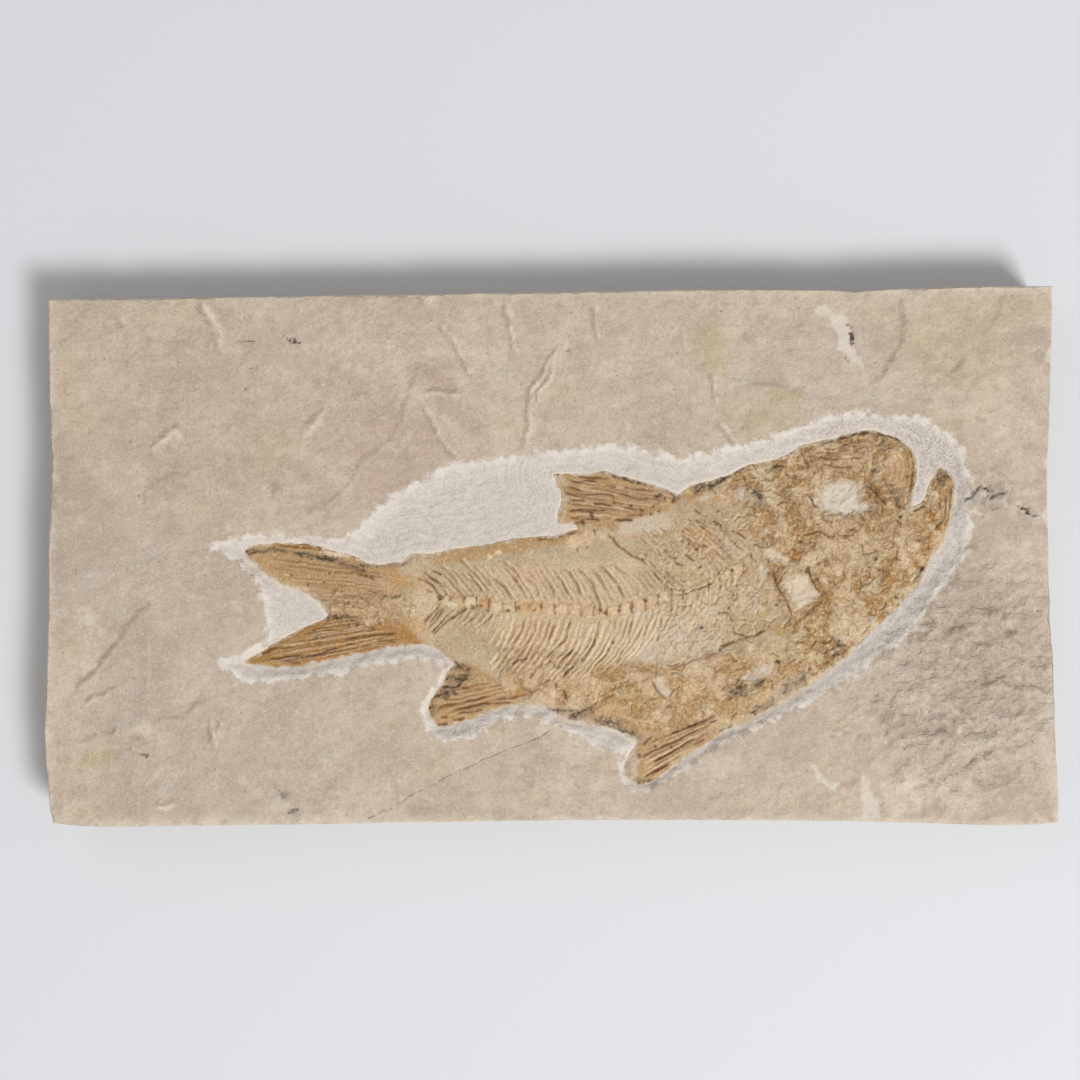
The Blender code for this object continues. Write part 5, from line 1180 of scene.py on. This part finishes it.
def fine_lines(fish, corners, tries, dark, pale, draw):
    """Fine wandering grooves all over an area, each with a pale edge on the side toward the back."""
    loop = np.array(corners, float).reshape(-1, 2)
    loop = np.vstack([loop, loop[:1]])
    places = draw.uniform(loop.min(axis=0), loop.max(axis=0), (tries, 2))
    for place in places[is_inside(places[:, 0], places[:, 1], loop)]:
        heading = draw.choice((-0.9, 0.5)) + draw.normal(0.0, 0.6)
        line = [place]
        for _ in range(draw.integers(2, 7)):
            heading += draw.normal(0.0, 0.5)
            line.append(line[-1] + 0.3 * np.array((math.cos(heading), math.sin(heading))))
        line = np.array(line)
        strength = dark * draw.uniform(0.2, 0.85)
        fish.stroke(line + (-0.2, 0.2), 0.22, rise=0.09, broken=0.3, cream=pale * draw.uniform(0.2, 0.8))
        fish.stroke(line, 0.22, broken=0.3, brown=0.5 * strength)
        fish.stroke(line, 0.15, rise=-0.08, broken=0.3, seam=strength)


def eye_socket(fish, draw):
    """The orbit, filled with pale stone in a raised ring of broken bone, and the snout's smooth plate."""
    every = tuple(fish.tints)
    fish.area(ORBIT, soft=1.6, rise=0.12)
    fish.area(ORBIT, soft=1.1, rise=-0.3, clears=every, pale=1.0)
    fish.area(SNOUT, soft=1.0, rise=0.06, clears=("seam", "brown", "broken", "orange", "cream"), pink=0.36,
              ochre=0.1)
    fish.height += 0.08 * fish.tints["pale"] * layered(fish.x, fish.y, 0.7, 160, 3)
    for number in range(ORBIT_SPECKS):
        turn = 2.0 * math.pi * number / ORBIT_SPECKS
        out = draw.uniform(2.2, 3.4)
        x, y = EYE[0] + 1.1 * out * math.cos(turn), EYE[1] + 0.85 * out * math.sin(turn)
        tint = ("cream", "brown", "seam", "pale")[number % 4]
        fish.specks(draw, x, y, 0.5, 0.3, math.degrees(turn) + 90.0, 2, size=0.16, rise=0.05, **{tint: 0.9})
    fish.specks(draw, EYE[0], EYE[1], 2.2, 1.7, 20.0, 34, size=0.12, rise=-0.06, grey=0.9, brown=0.55)
    for shift in (0.5, 1.1, 1.8, 2.5):
        line = [(42.8 - shift, 12.2 - 0.4 * shift), (43.1 - shift, 10.4), (42.6 - shift, 8.6)]
        fish.stroke(smooth_curve(line, 0.4), 0.16, rise=-0.04, broken=0.8, brown=0.7, ochre=0.7)


def ground_colours(fish):
    """The broad areas and soft patches of colour."""
    for corners, soft, tints in FISH_AREAS:
        fish.area(corners, soft=soft, **tints)
    for number, (x, y, rx, ry, turn, tints) in enumerate(FISH_PATCHES):
        fish.patch(x, y, rx, ry, turn, soft=0.7, rough=0.4, seed=number, **tints)


def placed_lines(fish):
    """The strong ridges, grooves and black lines that stand at their own places."""
    kinds = ((BONE_LINES, 0.1, "cream"), (SEAM_LINES, -0.11, "seam"), (INK_LINES, -0.04, "ink"))
    for groups, rise, tint in kinds:
        for width, amount, lines in groups:
            for line in lines:
                line = smooth_curve(line, 0.4)
                if tint == "seam":
                    fish.stroke(line, 2.2 * width, broken=0.4, brown=0.75 * amount)
                fish.stroke(line, width, rise=rise, broken=0.3, **{tint: amount})


def placed_spots(fish, draw):
    """Ragged clusters of black mineral and single small spots."""
    for x, y, rx, ry, turn, count in INK_CLUSTERS:
        fish.patch(x, y, 1.1 * rx, 1.3 * ry, turn, soft=1.2, rough=0.5, brown=0.35, grey=0.3, ink=0.2)
        fish.specks(draw, x, y, rx, ry, turn, count, size=0.15, ink=1.0)
    for tint, amount, places in SPOTS:
        for number, (x, y, radius) in enumerate(places):
            fish.patch(x, y, 1.15 * radius, 0.9 * radius, 40.0 * number, rise=-0.04, rough=0.35, seed=number,
                       **{tint: amount})


def bone_chips(fish):
    """Smooth pale chips that stand out of the broken bone."""
    rough_tints = ("seam", "brown", "ochre", "broken")
    for corners in CHIPS:
        fish.area(corners, soft=0.7, rise=0.1, clears=rough_tints, pale=0.5, cream=0.35)


def crack_and_grain(fish):
    """The slab's hairline crack where it crosses the belly, and the skin's small unevenness."""
    crack = hairline(fish.x, fish.y)
    fish.height -= 0.08 * np.exp(-((crack / 0.2) ** 2))
    fish.tint("seam", slice(None), 0.6 * np.exp(-((crack / 0.16) ** 2)) * smoothstep(0.7 + 1.5 * fish.uneven))
    fish.height += 0.03 * layered(fish.x, fish.y, 0.8, 170, 3) + 0.05 * layered(fish.x, fish.y, 2.6, 174, 2)


def thin_edge(fish, depth):
    """The skin thins out at the outline, most of all where the dorsal fin's rays run back into the strip."""
    reach = 0.35 + 1.2 * smoothstep(1.4 - np.abs(fish.x - 0.6) / 1.2) * smoothstep((fish.y - 3.6) / 0.6)
    frayed = smoothstep(0.6 - (depth + 0.7 * reach * fish.uneven) / reach)
    fish.tint("pale", slice(None), 0.75 * frayed)
    fish.height = (0.05 + 0.1 * smoothstep(depth / 0.7) + 0.15 * smoothstep(depth / 4.0)
                   + fish.height * smoothstep((depth + 0.1) / 0.5))


def fish_skin(x, y, depth):
    """Height above the scraped floor and tints of the whole fish."""
    fish = Surface(x, y, FISH_TINTS, wobble=0.09, seed=7)
    draw = np.random.default_rng(FISH_SEED)
    ground_colours(fish)
    broken_bone(fish)
    faint_bones(fish, draw)
    backbone(fish, draw)
    bones_beside(fish, SPINES, SPINE_ASIDE)
    bones_beside(fish, RIBS, RIB_ASIDE)
    fin_rays(fish, draw)
    shoulder_lines(fish, draw)
    placed_lines(fish)
    placed_spots(fish, draw)
    for corners, tries, dark, pale, seed in FINE_LINES:
        fine_lines(fish, corners, tries, dark, pale, np.random.default_rng(seed))
    bone_chips(fish)
    eye_socket(fish, draw)
    crack_and_grain(fish)
    thin_edge(fish, depth)
    return fish


def fish_grid():
    """Grid squares that cover the fish and a narrow skirt round it: vertices, depths and faces."""
    low = np.array(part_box("fish")[0]) / MM - 0.8
    high = np.array(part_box("fish")[1]) / MM + 0.8
    xs = np.arange(low[0], high[0], FISH_STEP)
    ys = np.arange(low[1], high[1], FISH_STEP)
    x, y = (part.ravel() for part in np.meshgrid(xs, ys))
    depth, _ = fish_depth(x, y)
    faces = grid_faces(len(ys), len(xs))
    faces = faces[(depth[faces] > -FISH_SKIRT).all(axis=1)]
    used, index = np.unique(faces, return_inverse=True)
    return x[used], y[used], depth[used], index.reshape(faces.shape)


def make_fish(material):
    """The fish: its skin comes up through the scraped floor at the outline, and a thin body lies below."""
    x, y, depth, faces = fish_grid()
    fish = fish_skin(x, y, depth)
    plunge = smoothstep((depth + FISH_SKIRT) / (FISH_SKIRT - 0.02))
    height = FLOOR_LEVEL + swell(x, y) + fish.height * plunge - 0.75 * (1 - plunge)
    thing = mesh_object("fish_fossil", np.column_stack([x, y, height]), faces, fish.tints, material)
    close_below(thing, FISH_BOTTOM * MM)
    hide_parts("fish")
    return thing


def close_below(thing, level):
    """Extrudes the open border straight down to a level and closes it there."""
    mesh = bmesh.new()
    mesh.from_mesh(thing.data)
    border = [edge for edge in mesh.edges if edge.is_boundary]
    made = bmesh.ops.extrude_edge_only(mesh, edges=border)["geom"]
    for vertex in made:
        if isinstance(vertex, bmesh.types.BMVert):
            vertex.co.z = level
    rim = [edge for edge in made if isinstance(edge, bmesh.types.BMEdge)]
    bmesh.ops.edgeloop_fill(mesh, edges=rim)
    bmesh.ops.recalc_face_normals(mesh, faces=mesh.faces[:])
    mesh.to_mesh(thing.data)
    mesh.free()


def linear(red, green, blue):
    """A display colour given in 0 to 255, as the light values that a shader takes."""
    parts = [part / 255.0 for part in (red, green, blue)]
    return tuple(p / 12.92 if p <= 0.04045 else ((p + 0.055) / 1.055) ** 2.4 for p in parts) + (1.0,)


class Shader:
    """A material under construction, with short ways to add its nodes."""

    def __init__(self, name):
        self.material = bpy.data.materials.new(name)
        self.material.use_nodes = True
        self.nodes = self.material.node_tree.nodes
        self.links = self.material.node_tree.links
        self.principled = self.nodes["Principled BSDF"]
        place = self.add("ShaderNodeTexCoord").outputs["Object"]
        self.place = self.vector("SCALE", place, scale=1.0 / MM)

    def add(self, kind, **settings):
        """Adds a node and sets its properties."""
        node = self.nodes.new(kind)
        for key, value in settings.items():
            setattr(node, key, value)
        return node

    def set(self, socket, value):
        """Links or sets a socket."""
        if isinstance(value, bpy.types.NodeSocket):
            self.links.new(value, socket)
        else:
            socket.default_value = value

    def vector(self, operation, first, second=None, scale=None):
        """Vector arithmetic."""
        node = self.add("ShaderNodeVectorMath", operation=operation)
        self.set(node.inputs[0], first)
        if second is not None:
            self.set(node.inputs[1], second)
        if scale is not None:
            self.set(node.inputs["Scale"], scale)
        return node.outputs["Vector"]

    def maths(self, operation, first, second=0.0, clamp=False):
        """Arithmetic on numbers."""
        node = self.add("ShaderNodeMath", operation=operation, use_clamp=clamp)
        self.set(node.inputs[0], first)
        self.set(node.inputs[1], second)
        return node.outputs[0]

    def mask(self, name):
        """A mesh attribute."""
        return self.add("ShaderNodeAttribute", attribute_name=name).outputs["Fac"]

    def noise(self, size, detail=3.0, place=None, rough=0.55, stretch=None):
        """Noise with bumps about size millimetres wide, from 0 to 1."""
        place = self.place if place is None else place
        if stretch is not None:
            place = self.vector("MULTIPLY", place, stretch)
        node = self.add("ShaderNodeTexNoise")
        self.set(node.inputs["Vector"], place)
        node.inputs["Scale"].default_value = 1.0 / size
        node.inputs["Detail"].default_value = detail
        node.inputs["Roughness"].default_value = rough
        return node.outputs["Fac"]

    def step(self, value, low, high, out_low=0.0, out_high=1.0):
        """A smooth step from one value to another."""
        node = self.add("ShaderNodeMapRange", interpolation_type="SMOOTHSTEP")
        self.set(node.inputs["Value"], value)
        node.inputs["From Min"].default_value = low
        node.inputs["From Max"].default_value = high
        node.inputs["To Min"].default_value = out_low
        node.inputs["To Max"].default_value = out_high
        return node.outputs["Result"]

    def mix(self, amount, first, second, blend="MIX"):
        """Mixes two colours."""
        node = self.add("ShaderNodeMix", data_type="RGBA", blend_type=blend)
        self.set(node.inputs["Factor"], amount)
        self.set(node.inputs[6], first)
        self.set(node.inputs[7], second)
        return node.outputs[2]

    def below(self, base, field, low, high, strength, colour):
        """Mixes a display colour in where a field is low: as much as strength below low, none above high."""
        return self.mix(self.step(field, low, high, strength, 0.0), base, linear(*colour))

    def above(self, base, field, low, high, strength, colour):
        """Mixes a display colour in where a field is high: none below low, as much as strength above high."""
        return self.mix(self.step(field, low, high, 0.0, strength), base, linear(*colour))

    def tinted(self, base, name, spread, grain, colour):
        """Mixes a display colour in by a mask that a grain mottles."""
        return self.mix(self.soft(name, spread, grain), base, linear(*colour))

    def finish(self, base, relief, distance, strength, gloss):
        """Joins colour, relief and gloss to the shader."""
        self.set(self.principled.inputs["Base Color"], base)
        self.set(self.principled.inputs["Normal"], self.bump(relief, distance, strength))
        self.principled.inputs["Specular IOR Level"].default_value = gloss
        return self.material

    def ragged(self, name, spread, grain, sharp=0.25):
        """A mask whose edge is broken up by a grain, sharper than the mesh that carries it."""
        lifted = self.maths("MULTIPLY_ADD", grain, spread)
        self.nodes[-1].inputs[2].default_value = -0.5 * spread
        total = self.maths("ADD", self.mask(name), lifted)
        return self.step(total, 0.5 - sharp, 0.5 + sharp)

    def soft(self, name, spread, grain):
        """A mask that keeps its own strength, mottled by a grain."""
        factor = self.step(grain, 0.5 - spread, 0.5 + spread, 0.55, 1.25)
        return self.maths("MULTIPLY", self.mask(name), factor, clamp=True)

    def flow(self, size, seed):
        """Noise drawn into flowing bands about size millimetres wide, from 0 to 1."""
        node = self.add("ShaderNodeTexNoise")
        self.set(node.inputs["Vector"], self.vector("ADD", self.place, (seed * 13.0, seed * 7.0, 0.0)))
        node.inputs["Scale"].default_value = 1.0 / size
        node.inputs["Detail"].default_value = 4.0
        node.inputs["Distortion"].default_value = 1.1
        return node.outputs["Fac"]

    def bump(self, height, distance, strength):
        """Bends the surface's light by a height in millimetres."""
        node = self.add("ShaderNodeBump")
        node.inputs["Strength"].default_value = strength
        node.inputs["Distance"].default_value = distance * MM
        self.set(node.inputs["Height"], height)
        return node.outputs["Normal"]


# Painted tints and their display colours, of the stone and of the bone
# On the stone, the brown shade tint is painted shade, and pale also serves as painted highlight along steps
STONE_TINTS = (("pink", (182, 160, 146)), ("olive", (180, 164, 128)), ("grey", (158, 148, 137)),
               ("dusk", (146, 128, 110)), ("pale", (216, 204, 187)))
BONE_TINTS = (("ochre", (172, 121, 44)), ("green", (172, 145, 88)), ("pink", (198, 158, 132)),
              ("grey", (200, 184, 164)))

# The broken bone's grain: size, seed, strength
BONE_FLOWS = ((1.5, 1.0, 0.28), (0.8, 2.0, 0.36), (0.42, 3.0, 0.42))


def stone_ground(s, medium):
    """Beige in broad soft clouds, and the painted tints of the face."""
    base = s.mix(s.step(s.noise(9.0, 4.0), 0.35, 0.65), linear(184, 168, 151), linear(198, 183, 166))
    base = s.above(base, s.noise(4.5, 3.0, rough=0.7), 0.5, 0.7, 0.45, (192, 176, 144))
    base = s.above(base, s.noise(3.2, 5.0, rough=0.7), 0.5, 0.7, 0.5, (186, 163, 150))
    for name, colour in STONE_TINTS:
        base = s.tinted(base, name, 0.25, medium, colour)
    return s.above(base, s.noise(5.5, 4.0, rough=0.6), 0.52, 0.7, 0.4, (196, 186, 172))


def stone_mottling(s, base, fine, medium, crumple):
    """Flakes darker and paler than the ground, painted shade in the hollows and painted highlight on the
    crests where the face is rough, then the finest grain and dark specks.
    """
    flakes, rough = s.noise(2.4, 6.0, rough=0.66), s.mask("rough")
    base = s.below(base, flakes, 0.36, 0.5, 0.34, (168, 149, 130))
    base = s.above(base, flakes, 0.54, 0.66, 0.36, (214, 200, 182))
    base = s.below(base, medium, 0.34, 0.44, 0.3, (164, 145, 126))
    base = s.above(base, medium, 0.56, 0.68, 0.3, (214, 200, 182))
    # where the face is rough, its hollows get painted shade and its crests painted highlight, from the same
    # noise that bumps its relief
    painted_hollow_shade = s.maths("MULTIPLY", s.step(crumple, 0.34, 0.47, 0.2, 0.0), rough)
    painted_crest_light = s.maths("MULTIPLY", s.step(crumple, 0.54, 0.66, 0.0, 0.45), rough)
    base = s.mix(painted_hollow_shade, base, linear(150, 132, 114))
    base = s.mix(painted_crest_light, base, linear(212, 199, 183))
    base = s.below(base, fine, 0.34, 0.52, 0.2, (152, 136, 119))
    base = s.above(base, fine, 0.5, 0.68, 0.24, (214, 201, 185))
    specks = s.maths("MULTIPLY", s.step(s.noise(0.5, 1.0), 0.68, 0.75), s.step(medium, 0.45, 0.6))
    return s.mix(s.maths("MULTIPLY", specks, 0.5), base, linear(118, 100, 84))


def crack_colour(s, base, medium):
    """The hairline crack, dark and of uneven width."""
    crack = s.maths("ABSOLUTE", s.mask("crack"))
    crack = s.step(s.maths("ADD", crack, s.step(medium, 0.3, 0.7, -0.04, 0.1)), 0.05, 0.16, 0.6, 0.0)
    return s.mix(crack, base, linear(112, 98, 84))


def stone_relief(s, fine, grit, medium, crumple):
    """Grain finer than the mesh, crumpled and stepped where the face is rough."""
    rough = s.mask("rough")
    relief = s.maths("ADD", s.maths("MULTIPLY", fine, 0.6), s.maths("MULTIPLY", grit, 0.3))
    relief = s.maths("ADD", relief, s.maths("MULTIPLY", medium, 2.6))
    relief = s.maths("ADD", relief, s.maths("MULTIPLY", crumple, s.maths("MULTIPLY", rough, 4.0)))
    steps = s.step(s.noise(1.7, 5.0, rough=0.6, stretch=(0.55, 1.0, 1.0)), 0.43, 0.52)
    return s.maths("ADD", relief, s.maths("MULTIPLY", steps, s.maths("MULTIPLY", rough, 1.3)))


def limestone():
    """Warm beige limestone, mottled pink and olive, with the strip scraped to white round the fish."""
    s = Shader("limestone_split")
    fine, grit, medium = s.noise(0.32, 2.0), s.noise(0.16, 1.0), s.noise(1.4, 4.0)
    crumple = s.noise(0.95, 5.0, rough=0.62)
    base = stone_ground(s, medium)
    base = stone_mottling(s, base, fine, medium, crumple)
    base = crack_colour(s, base, medium)
    base = halo_colour(s, base, fine, grit, medium)
    rubbed = s.noise(0.6, 3.0, stretch=(1.0, 0.5, 1.0))
    base = s.mix(s.maths("MULTIPLY", s.ragged("scuff", 1.1, rubbed, 0.45), 0.68), base, linear(216, 207, 194))
    base = s.mix(s.ragged("ink", 0.45, fine), base, linear(88, 76, 68))
    base = s.mix(s.step(s.mask("side"), 0.2, 0.8), base, side_colour(s, fine, medium))
    s.principled.inputs["Roughness"].default_value = 0.92
    return s.finish(base, stone_relief(s, fine, grit, medium, crumple), 0.12, 0.8, 0.25)


def halo_colour(s, base, fine, grit, medium):
    """The scraped strip: off-white, specked grey, with faint strokes along the outline and a fuzzy edge."""
    place = s.add("ShaderNodeCombineXYZ")
    s.set(place.inputs[0], s.mask("along"))
    s.set(place.inputs[1], s.mask("outward"))
    place = place.outputs[0]
    strokes = s.noise(0.5, 3.0, place=place, stretch=(0.25, 1.0, 1.0))
    across = s.noise(0.4, 3.0, place=place, stretch=(1.0, 0.4, 1.0))
    edge = s.mask("halo")
    for grain, reach in ((across, 0.12), (medium, 0.45), (fine, 0.12)):
        edge = s.maths("ADD", edge, s.step(grain, 0.25, 0.75, -reach, reach))
    white = s.mix(s.step(strokes, 0.32, 0.64), linear(196, 187, 178), linear(210, 202, 195))
    white = s.below(white, s.noise(0.8, 5.0, rough=0.65), 0.36, 0.5, 0.45, (182, 172, 162))
    white = s.above(white, medium, 0.5, 0.7, 0.35, (198, 186, 172))
    white = s.below(white, medium, 0.3, 0.42, 0.4, (182, 173, 168))
    white = s.below(white, grit, 0.36, 0.52, 0.3, (160, 151, 143))
    white = s.above(white, grit, 0.52, 0.66, 0.4, (222, 216, 210))
    worn = s.maths("MULTIPLY", s.mask("pitted"), s.step(fine, 0.38, 0.52, 0.85, 0.1))
    white = s.mix(worn, white, linear(160, 148, 136))
    rim = s.maths("MULTIPLY", s.step(edge, 0.4, 1.3, 0.75, 0.0), s.step(medium, 0.4, 0.58, 0.1, 1.0))
    white = s.mix(rim, white, linear(224, 217, 208))
    lip = s.step(s.mask("outward"), 0.2, 0.6, 0.7, 0.0)
    lip = s.maths("MULTIPLY", lip, s.step(medium, 0.4, 0.56, 0.1, 1.0))
    white = s.mix(lip, white, linear(220, 209, 190))
    inside = s.step(edge, -0.3, 0.4)
    return s.mix(s.maths("MULTIPLY", inside, s.step(strokes, 0.25, 0.5, 0.85, 1.0)), base, white)


def side_colour(s, fine, medium):
    """The trimmed sides and underside: the same stone, a little paler, with faint layers."""
    layers = s.noise(0.9, 3.0, stretch=(0.06, 0.06, 1.0))
    side = s.mix(s.step(layers, 0.3, 0.7), linear(180, 164, 144), linear(202, 188, 170))
    side = s.above(side, medium, 0.5, 0.75, 0.4, (188, 168, 143))
    return s.below(side, fine, 0.3, 0.7, 0.25, (148, 132, 113))


def broken_grain(s, base, relief):
    """Flowing dark and pale bands with thin gaps, in three sizes, where the bone is broken."""
    broken = s.mask("broken")
    for size, seed, weight in BONE_FLOWS:
        value = s.flow(size, seed)
        line = s.maths("ABSOLUTE", s.maths("SUBTRACT", value, 0.5))
        dark = s.maths("MULTIPLY", s.step(value, 0.35, 0.42, weight, 0.0), broken)
        light = s.maths("MULTIPLY", s.step(value, 0.53, 0.62, 0.0, 1.25 * weight), broken)
        gap = s.maths("MULTIPLY", s.step(line, 0.0, 0.018, 1.3 * weight, 0.0), broken)
        base = s.mix(dark, base, linear(160, 112, 50))
        base = s.mix(light, base, linear(236, 203, 148))
        base = s.mix(gap, base, linear(116, 76, 32))
        height = s.maths("SUBTRACT", s.maths("MULTIPLY", value, 2.5 * size), s.maths("MULTIPLY", gap, 0.5))
        relief = s.maths("ADD", relief, s.maths("MULTIPLY", height, broken))
    return base, relief


def fossil_bone():
    """The fish: buff stone tinted ochre over skin and fins, cream bones, brown seams and black mineral."""
    s = Shader("fossil_bone_ochre")
    fine, grit, medium = s.noise(0.3, 2.0), s.noise(0.15, 1.0), s.noise(1.2, 4.0)
    base = s.mix(s.step(s.noise(4.0, 3.0), 0.35, 0.65), linear(178, 157, 127), linear(191, 171, 142))
    for name, colour in BONE_TINTS:
        base = s.tinted(base, name, 0.3, medium, colour)
    relief = s.maths("ADD", fine, s.maths("MULTIPLY", grit, 0.4))
    base, relief = broken_grain(s, base, relief)
    base = s.tinted(base, "orange", 0.3, fine, (192, 134, 68))
    base = s.tinted(base, "brown", 0.3, fine, (138, 88, 30))
    base = s.below(base, fine, 0.36, 0.5, 0.26, (140, 106, 66))
    base = s.tinted(base, "cream", 0.25, fine, (226, 203, 168))
    base = s.above(base, fine, 0.52, 0.66, 0.3, (224, 203, 172))
    base = s.tinted(base, "seam", 0.3, fine, (84, 50, 14))
    base = s.tinted(base, "ink", 0.3, grit, (38, 30, 24))
    base = s.tinted(base, "pale", 0.4, grit, (212, 201, 186))
    s.set(s.principled.inputs["Roughness"], s.step(s.mask("ochre"), 0.2, 0.9, 0.85, 0.62))
    return s.finish(base, relief, 0.14, 0.85, 0.35)


# The studio, in metres: the floor, then each light's name, place, width and power, then the sky
FLOOR_HALF = 2.0
FLOOR_GAP = 0.0001
LIGHTS = (("key", (0.34, -0.38, 0.76), 0.26, 6.4), ("fill", (-0.5, 0.4, 0.8), 0.8, 1.0))
SKY_COLOUR = (1.0, 0.985, 0.96, 1.0)
SKY_STRENGTH = 0.4


def plain_material(name, colour, roughness):
    """One plain colour, for the floor."""
    material = bpy.data.materials.new(name)
    material.use_nodes = True
    shader = material.node_tree.nodes["Principled BSDF"]
    shader.inputs["Base Color"].default_value = colour
    shader.inputs["Roughness"].default_value = roughness
    return material


def make_floor():
    """A plain pale floor just under the slab."""
    data = bpy.data.meshes.new("floor")
    corners = [(-FLOOR_HALF, -FLOOR_HALF), (FLOOR_HALF, -FLOOR_HALF), (FLOOR_HALF, FLOOR_HALF),
               (-FLOOR_HALF, FLOOR_HALF)]
    data.from_pydata([(x, y, -FLOOR_GAP) for x, y in corners], [], [(0, 1, 2, 3)])
    data.materials.append(plain_material("floor_pale", linear(214, 216, 220), 0.9))
    floor = bpy.data.objects.new("floor", data)
    bpy.context.scene.collection.objects.link(floor)


def area_light(name, place, size, power):
    """A soft square light aimed at the slab's middle."""
    data = bpy.data.lights.new(name, "AREA")
    data.shape, data.size, data.energy = "SQUARE", size, power
    light = bpy.data.objects.new(name, data)
    bpy.context.scene.collection.objects.link(light)
    light.location = place
    light.rotation_euler = light.location.to_track_quat("Z", "Y").to_euler()
    return light


def make_light():
    """Soft studio light: a key from beyond the lower right corner, a weak fill and an even sky."""
    for light in LIGHTS:
        area_light(*light)
    world = bpy.data.worlds.new("studio")
    bpy.context.scene.world = world
    world.use_nodes = True
    sky = world.node_tree.nodes["Background"]
    sky.inputs["Color"].default_value = SKY_COLOUR
    sky.inputs["Strength"].default_value = SKY_STRENGTH
    bpy.context.scene.view_settings.view_transform = "Standard"


def make_camera():
    """Straight above the slab, with the photograph's framing."""
    data = bpy.data.cameras.new("camera")
    data.sensor_width = 36.0
    data.lens = data.sensor_width / 2 / math.tan(PHOTO_ANGLE / 2)
    camera = bpy.data.objects.new("camera", data)
    bpy.context.scene.collection.objects.link(camera)
    rise = PHOTO_WIDTH / 2 / math.tan(PHOTO_ANGLE / 2)
    camera.location = (PHOTO_CENTRE[0] * MM, PHOTO_CENTRE[1] * MM, (FACE_LEVEL + rise) * MM)
    data.clip_start, data.clip_end = 0.01, 10.0
    bpy.context.scene.camera = camera


def main():
    """Builds both pieces and the studio round them."""
    slab = make_slab(limestone())
    fish = make_fish(fossil_bone())
    for piece, slot in ((slab, "limestone"), (fish, "fossil_bone")):
        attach(piece, "root")
    make_floor()
    make_light()
    make_camera()


main()
